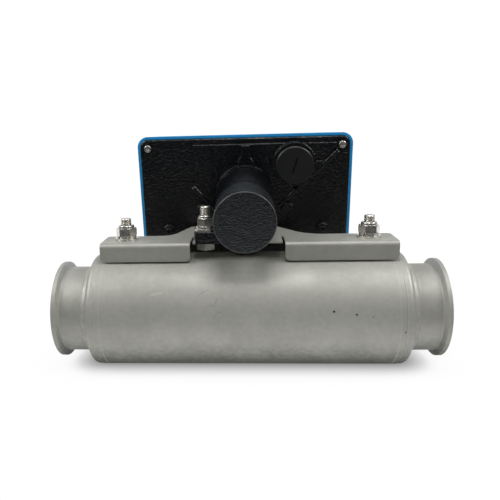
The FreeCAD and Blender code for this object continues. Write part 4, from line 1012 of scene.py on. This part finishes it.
@dataclass
class ThreadedRod:
    """A stud or bolt shank with a real thread and a turned-down tip, in millimetres."""

    radius: float
    pitch: float
    bottom: float
    thread_start: float
    top: float
    chamfer: float = 0.9
    steps: int = 36
    thread_depth: float = 0.6
    crest: float = 0.12
    core_proud: float = 0.05
    runout: float = 0.3
    tip_fall: float = 0.35

    def build(self, work: bmesh.types.BMesh, at: tuple[float, float]) -> None:
        """Adds core and thread to a mesh.

        Args:
            work: The mesh that they go into.
            at: The axis's place in plan.
        """
        part = bmesh.new()
        root = self.radius - self.thread_depth * self.pitch
        self.thread(part, root)
        for cut, outer in ((self.top - self.chamfer * 0.5, True), (self.thread_start, False)):
            bmesh.ops.bisect_plane(part, geom=part.verts[:] + part.edges[:] + part.faces[:], dist=1e-7,
                                   plane_co=(0.0, 0.0, cut * MM), plane_no=(0.0, 0.0, 1.0),
                                   clear_outer=outer, clear_inner=not outer)
        core_r = root + self.core_proud
        core = Turning(part, self.steps, core_r, self.bottom)
        core.close()
        low = self.top - self.chamfer * 0.75
        core.pull((core_r, low - self.runout), (self.radius - self.tip_fall, low),
                  (self.radius - self.chamfer, self.top)).close()
        bmesh.ops.translate(part, verts=part.verts, vec=(at[0] * MM, at[1] * MM, 0.0))
        join_part(work, part)

    def thread(self, work: bmesh.types.BMesh, root: float) -> None:
        """Sweeps one pitch of the thread's outline up the rod.

        Args:
            work: The mesh that it goes into.
            root: The thread's root radius.
        """
        flat = self.crest * self.pitch
        rise = (self.pitch - 2 * flat) / 2
        base = self.thread_start - self.pitch
        outline = ((root, 0.0), (self.radius, rise), (self.radius, rise + flat), (root, 2 * rise + flat),
                   (root, self.pitch))
        verts = [work.verts.new((radius * MM, 0.0, (base + height) * MM)) for radius, height in outline]
        edges = [work.edges.new(pair) for pair in zip(verts, verts[1:])]
        turns = math.ceil((self.top - base) / self.pitch)
        lift = self.pitch * MM / self.steps
        bmesh.ops.spin(work, geom=verts + edges, cent=(0.0, 0.0, 0.0), axis=(0.0, 0.0, 1.0),
                       dvec=(0.0, 0.0, lift), angle=math.tau * turns, steps=self.steps * turns,
                       use_merge=False, use_duplicate=False)
        bmesh.ops.remove_doubles(work, verts=work.verts, dist=2 * CLOSE)


@dataclass
class BracketStuds:
    """The two studs that hold the sheet."""

    pitch: float = 1.5

    def build(self, wardrobe: "Wardrobe") -> None:
        """Makes both studs as one piece in place of the plain ones.

        Args:
            wardrobe: What dresses the piece.
        """
        low, high = (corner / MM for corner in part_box("bracket_studs"))
        radius = (high.y - low.y) / 2
        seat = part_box("locknuts")[0].z / MM
        work = bmesh.new()
        for x in (low.x + radius, high.x - radius):
            ThreadedRod(radius, self.pitch, low.z, seat, high.z).build(work, (x, (low.y + high.y) / 2))
        piece = finished_mesh(work, "threaded_studs")
        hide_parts("bracket_studs")
        wardrobe.put(piece, "thread_steel")


@dataclass
class FootBolt:
    """The hexagon bolt through the foot, its head under the sheet."""

    radius: float = 5.0
    pitch: float = 1.5
    overlap: float = 1.0
    head_flats: float = 16.0
    head_height: float = 6.4
    corner_fall: float = 0.7
    corner_rise: float = 0.6

    def build(self, wardrobe: "Wardrobe") -> None:
        """Makes the bolt in place of the plain one.

        Args:
            wardrobe: What dresses the piece.
        """
        low, high = (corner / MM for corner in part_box("foot_bolt"))
        nut_low, nut_high = (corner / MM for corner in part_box("foot_nut"))
        at = ((nut_low.x + nut_high.x) / 2, (nut_low.y + nut_high.y) / 2)
        work = bmesh.new()
        self.head(work, at, low.z)
        rod = ThreadedRod(self.radius, self.pitch, low.z + self.overlap, nut_low.z - self.overlap, high.z)
        rod.build(work, at)
        piece = finished_mesh(work, "threaded_foot_bolt")
        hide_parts("foot_bolt")
        wardrobe.put(piece, "thread_steel")

    def head(self, work: bmesh.types.BMesh, at: tuple[float, float], low: float) -> None:
        """Adds the hexagon, its corners turned down underneath.

        Args:
            work: The mesh that it goes into.
            at: The axis's place in plan.
            low: The height of its lower face.
        """
        corner = self.head_flats / math.sqrt(3)
        twist = Matrix.Rotation(math.radians(30), 3, "Z")
        verts, edges = add_circle(work, 6, corner - self.corner_fall, capped=True)
        bmesh.ops.rotate(work, verts=verts, cent=(0.0, 0.0, 0.0), matrix=twist)
        bmesh.ops.translate(work, verts=verts, vec=(0.0, 0.0, low * MM))
        for rise in (self.corner_rise, self.head_height - self.corner_rise):
            verts, edges = extruded(work, edges)
            share = corner / math.hypot(verts[0].co.x, verts[0].co.y) * MM
            bmesh.ops.scale(work, verts=verts, vec=(share, share, 1.0))
            bmesh.ops.translate(work, verts=verts, vec=(0.0, 0.0, rise * MM))
        bmesh.ops.contextual_create(work, geom=edges)
        bmesh.ops.rotate(work, verts=work.verts[:], cent=(0.0, 0.0, 0.0), matrix=twist)
        bmesh.ops.translate(work, verts=work.verts[:], vec=(at[0] * MM, at[1] * MM, 0.0))


@dataclass
class Welds:
    """The weld beads around the body: shell to caps, and caps to tube."""

    shell_seam: float = 137.0
    shell_bead: float = 1.2
    shell_proud: float = 53.25
    tube_seam: float = 146.0
    tube_bead: float = 2.2
    tube_r: float = 40.2
    tube_spread: float = 2.6
    corners: int = 12
    ripples: int = 150
    ripple_depth: float = 0.10

    def build(self, wardrobe: "Wardrobe") -> None:
        """Makes every bead as one piece.

        Args:
            wardrobe: What dresses the piece.
        """
        work = bmesh.new()
        shell_r = self.shell_proud - self.shell_bead
        for side in (-1.0, 1.0):
            self.bead(work, (side * self.shell_seam, shell_r), self.shell_bead, 1.0)
            self.bead(work, (side * self.tube_seam, self.tube_r), self.tube_bead, self.tube_spread)
        piece = finished_mesh(work, "weld_beads", smooth=True)
        wardrobe.put(piece, "weld_steel")

    def bead(self, work: bmesh.types.BMesh, at: tuple[float, float], section_r: float, spread: float) -> None:
        """Adds one rippled ring around the pipe.

        Args:
            work: The mesh that it goes into.
            at: Its place on the pipe, and how far its middle is from the pipe's axis.
            section_r: Half its thickness.
            spread: How much wider than thick it is.
        """
        along, centre_r = at
        add_ring(work, self.corners, section_r, at, "X", self.ripples * 4, spread)
        reach = section_r * (spread + 0.1)
        for vert in (vert for vert in work.verts if abs(vert.co.x / MM - along) < reach):
            turn = math.atan2(vert.co.y, vert.co.z)
            wave = math.sin(turn * self.ripples) * 0.5 - 0.5
            drift = math.sin(turn * 7.0 + along) * 0.12 + math.sin(turn * 17.0) * 0.06
            shrink = 1.0 + wave * self.ripple_depth / centre_r
            vert.co.y *= shrink
            vert.co.z *= shrink
            vert.co.x += drift * MM


@dataclass
class GlandNuts:
    """The fluted dome nuts of the two cable glands, tilted with the head."""

    radius: float = 11.0
    length: float = 16.0
    hole: float = 5.5
    wall: float = 2.4
    bevel: float = 0.6
    dome_r: float = 4.0
    flute_end: float = 5.0
    flute_share: float = 0.94
    lip: float = 0.4
    flutes: int = 18
    corners: int = 72

    def build(self, wardrobe: "Wardrobe") -> None:
        """Makes both nuts as one piece in place of the plain ones.

        Args:
            wardrobe: What dresses the piece.
        """
        low, high = (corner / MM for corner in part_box("gland_nuts"))
        lean = math.radians(HEAD_TILT)
        rise, reach = math.cos(lean), math.sin(lean)
        height = high.z - self.length / 2 * rise - self.radius * reach
        depth = low.y + self.radius * rise + self.length / 2 * reach
        work = bmesh.new()
        for x in (low.x + self.radius, high.x - self.radius):
            part = bmesh.new()
            self.nut(part)
            move = Matrix.Translation(Vector((x, depth, height)) * MM) @ Matrix.Rotation(lean, 4, "X")
            bmesh.ops.transform(part, matrix=move, verts=part.verts)
            join_part(work, part)
        piece = finished_mesh(work, "fluted_gland_nuts")
        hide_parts("gland_nuts")
        wardrobe.put(piece, "black_plastic")

    def nut(self, work: bmesh.types.BMesh) -> None:
        """Adds one nut around Z, its middle at the origin, with its dome down.

        Args:
            work: The mesh that it goes into.
        """
        half = self.length / 2
        inner = self.radius - self.wall
        loop = Turning(work, self.corners, inner, half)
        loop.pull((self.radius - self.bevel, half), (self.radius, half - self.bevel))
        first = set(loop.verts)
        loop.pull((self.radius, self.flute_end - half))
        self.cut_flutes(set(loop.verts) | first)
        centre = (self.radius - self.dome_r, self.dome_r - half)
        for turn in (math.radians(angle) for angle in (0, 22.5, 45, 67.5, 90)):
            loop.pull((centre[0] + self.dome_r * math.cos(turn), centre[1] - self.dome_r * math.sin(turn)))
        floor = self.dome_r - half
        loop.pull((self.hole + self.lip, -half), (self.hole, self.lip - half), (self.hole, floor),
                  (inner, floor), (inner, half))

    def cut_flutes(self, verts: set) -> None:
        """Draws every few corners of the two rings towards the axis.

        Args:
            verts: The corners of both rings.
        """
        groove = self.corners // self.flutes
        for index, vert in enumerate(sorted(verts, key=lambda vert: math.atan2(vert.co.y, vert.co.x))):
            if (index // 2) % groove == 0:
                vert.co.x *= self.flute_share
                vert.co.y *= self.flute_share


@dataclass
class CapRimHighlight:
    """A lighter line round the neck cap's front edge: a painted highlight along the rim.

    Its front is a place along the head's own axis, in millimetres.
    """

    front: float = -117.0
    edge_r: float = 1.4
    section_r: float = 0.42
    proud: float = 0.16
    corners: int = 10
    steps: int = 120

    def build(self, wardrobe: "Wardrobe") -> None:
        """Lays a thin lighter ring on the rounded edge, a painted highlight.

        Args:
            wardrobe: What dresses the piece.
        """
        low, high = (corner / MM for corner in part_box("neck_cap"))
        lean = (self.edge_r + self.proud - self.section_r) * math.sqrt(0.5)
        radius = (high.x - low.x) / 2 - self.edge_r + lean
        work = bmesh.new()
        at = (self.front + self.edge_r - lean, radius)
        add_ring(work, self.corners, self.section_r, at, "Y", self.steps)
        head = Matrix.Translation(Vector(HEAD_AT) * MM) @ Matrix.Rotation(math.radians(HEAD_TILT), 4, "X")
        bmesh.ops.transform(work, matrix=head, verts=work.verts)
        # The ring is lighter than the cap: a painted highlight.
        piece = finished_mesh(work, "cap_rim_highlight", smooth=True)
        wardrobe.put(piece, "rim_highlight_paint")


@dataclass(frozen=True)
class SoftBox:
    """A square lamp that faces the object, in metres and watts."""

    name: str
    place: Point
    size: float
    power: float

    def build(self) -> None:
        """Adds the lamp."""
        data = bpy.data.lights.new(self.name, "AREA")
        data.shape, data.size, data.energy = "SQUARE", self.size, self.power
        lamp = bpy.data.objects.new(self.name, data)
        lamp.location = self.place
        lamp.rotation_euler = (-Vector(self.place)).to_track_quat("-Z", "Y").to_euler()
        bpy.context.collection.objects.link(lamp)


SOFT_BOXES = (
    SoftBox("soft_box_left", (-0.90, -0.26, 0.82), 0.5, 6.8),
    SoftBox("soft_box_right", (0.90, -0.22, 0.87), 0.5, 7.2),
    SoftBox("soft_box_top", (0.05, -0.26, 1.10), 0.4, 3.8),
)


@dataclass
class Studio:
    """The camera, the lamps, the floor and the sky."""

    focal: float = 544.65
    centre: tuple[float, float] = (209.99, 243.45)
    frame: float = 500.0
    sensor: float = 36.0
    clip: tuple[float, float] = (0.01, 50.0)
    eye: Point = (-0.05, -500.6, 174.9)
    yaw: float = -3.89
    pitch: float = 12.56
    roll: float = 1.55
    floor_reach: float = 0.42
    floor_solid: float = 0.16
    floor_glow: tuple[float, float] = (0.15, 0.93)
    shade_middle: float = 0.065
    shade_half: tuple[float, float] = (0.14, 0.065)
    shade_fade: float = 0.045
    floor_overlap: float = 0.1
    floor_drop: float = 0.0002
    room_span: tuple[float, float] = (-0.3, 1.0)
    room_light: tuple[float, float] = (0.06, 0.40)
    screen_span: tuple[float, float] = (0.15, 0.68)
    screen_top: tuple[float, float] = (0.24, 0.38)
    screen_light: float = 1.05

    def build(self) -> None:
        """Makes everything that isn't the object."""
        self.camera()
        self.world()
        self.floor()
        for soft_box in SOFT_BOXES:
            soft_box.build()
        bpy.context.scene.view_settings.view_transform = "Standard"

    def camera(self) -> None:
        """Places the camera by its turn, dip and roll."""
        data = bpy.data.cameras.new("camera")
        data.sensor_width = self.sensor
        data.lens = self.focal * self.sensor / self.frame
        data.shift_x = (self.frame / 2 - self.centre[0]) / self.frame
        data.shift_y = (self.centre[1] - self.frame / 2) / self.frame
        data.clip_start, data.clip_end = self.clip
        camera = bpy.data.objects.new("camera", data)
        yaw, pitch, roll = (math.radians(angle) for angle in (self.yaw, self.pitch, self.roll))
        ahead = Vector((math.sin(yaw) * math.cos(pitch), math.cos(yaw) * math.cos(pitch), -math.sin(pitch)))
        right = Vector((math.cos(yaw), -math.sin(yaw), 0.0))
        up = right.cross(ahead)
        side = right * math.cos(roll) - up * math.sin(roll)
        top = right * math.sin(roll) + up * math.cos(roll)
        turn = Matrix((side, top, -ahead)).transposed()
        camera.matrix_world = Matrix.Translation(Vector(self.eye) * MM) @ turn.to_4x4()
        bpy.context.collection.objects.link(camera)
        bpy.context.scene.camera = camera

    def world(self) -> None:
        """A white screen behind the object in a dim room that is a little lighter overhead."""
        world = bpy.data.worlds.new("sky")
        graph = blank_tree(world)
        ahead = graph.add("SeparateXYZ", inputs={0: graph.add("TexCoord").outputs["Generated"]})
        room = graph.ramp(ahead.outputs["Z"], *self.room_span, *self.room_light)
        screen = graph.ramp(ahead.outputs["Y"], *self.screen_span, 0.0, self.screen_light)
        screen = graph.math("MULTIPLY", screen, graph.ramp(ahead.outputs["Z"], *self.screen_top, 1.0, 0.3))
        sky = graph.math("MAXIMUM", room, screen)
        shader = graph.add("Background", inputs={"Color": (1.0, 1.0, 1.0, 1.0), "Strength": sky})
        out = graph.add("OutputWorld")
        graph.feed(shader.outputs[0], out.inputs["Surface"])
        bpy.context.scene.world = world

    def floor(self) -> None:
        """A pale round table top under the shell that fades out around."""
        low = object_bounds()[0]
        mesh = bpy.data.meshes.new("floor")
        work = bmesh.new()
        reach = self.floor_reach + self.floor_overlap
        bmesh.ops.create_circle(work, cap_ends=True, segments=96, radius=reach)
        bmesh.ops.translate(work, verts=work.verts, vec=(0.0, 0.0, low.z - self.floor_drop))
        work.to_mesh(mesh)
        work.free()
        floor = bpy.data.objects.new("floor", mesh)
        bpy.context.collection.objects.link(floor)
        mesh.materials.append(self.table_top())
        floor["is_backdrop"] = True

    def table_top(self) -> bpy.types.Material:
        """A white surface that glows to the eye, less so under the object, and ends in nothing.

        Returns:
            The material.
        """
        material = bpy.data.materials.new("table_top")
        graph = blank_tree(material)
        fade = graph.ramp(graph.length(graph.place()), self.floor_solid, self.floor_reach, 0.0, 1.0)
        top = graph.add("BsdfDiffuse", inputs={"Color": (0.88, 0.88, 0.88, 1.0)})
        ray = graph.add("LightPath").outputs
        bounced = graph.math("MAXIMUM", ray["Is Glossy Ray"], ray["Is Transmission Ray"])
        seen = graph.math("MAXIMUM", ray["Is Camera Ray"], bounced)
        glow = graph.add("Emission", inputs={"Color": (1.0, 1.0, 1.0, 1.0)})
        share = graph.math("MULTIPLY", seen, self.floor_light(graph))
        pale = graph.add("MixShader", inputs={0: share, 1: top.outputs[0], 2: glow.outputs[0]})
        gone = graph.add("BsdfTransparent")
        mix = graph.add("MixShader", inputs={0: fade, 1: pale.outputs[0], 2: gone.outputs[0]})
        out = graph.add("OutputMaterial")
        graph.feed(mix.outputs[0], out.inputs["Surface"])
        return material

    def floor_light(self, graph: Graph) -> Socket:
        """How much the floor glows at a point: little in a box under the object, and more away from it.

        Args:
            graph: The graph that it goes into.

        Returns:
            The share of the glow.
        """
        shift = graph.vector("SUBTRACT", graph.place(), (0.0, self.shade_middle, 0.0)).outputs[0]
        beyond = graph.vector("SUBTRACT", graph.vector("ABSOLUTE", shift).outputs[0], (*self.shade_half, 1.0))
        outside = graph.vector("MAXIMUM", beyond.outputs[0], (0.0, 0.0, 0.0)).outputs[0]
        return graph.ramp(graph.length(outside), 0.0, self.shade_fade, *self.floor_glow)


@dataclass
class Wardrobe:
    """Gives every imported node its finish."""

    effects: Effects

    def __post_init__(self) -> None:
        """Makes each material once."""
        self.made = {name: finish.material(self.effects) for name, finish in FINISHES.items()}

    def dress(self, frame: dict) -> None:
        """Puts the finish of its slot on each node.
        """
        slots = {row["node"]: row["material_slot"] for row in frame["record"]["subparts"]}
        for name, node in frame["nodes"].items():
            finish = NODE_FINISH.get(name, slots[name])
            self.put(node, finish)
            LOG.info("%s: %s", name, finish)

    def put(self, piece: bpy.types.Object, finish: str) -> None:
        """Sets the only material of a piece.

        Args:
            piece: The piece.
            finish: The finish's name.
        """
        if piece.data.materials:
            for slot in piece.material_slots:
                slot.material = self.made[finish]
        else:
            piece.data.materials.append(self.made[finish])


def main() -> None:
    """Builds the scene around the frame."""
    logging.basicConfig(level=logging.INFO, format="%(message)s")
    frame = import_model()
    wardrobe = Wardrobe(Effects())
    wardrobe.dress(frame)
    for group in (BracketStuds(), FootBolt(), Welds(), GlandNuts(), CapRimHighlight()):
        group.build(wardrobe)
    Studio().build()


if __name__ == "__main__":
    main()
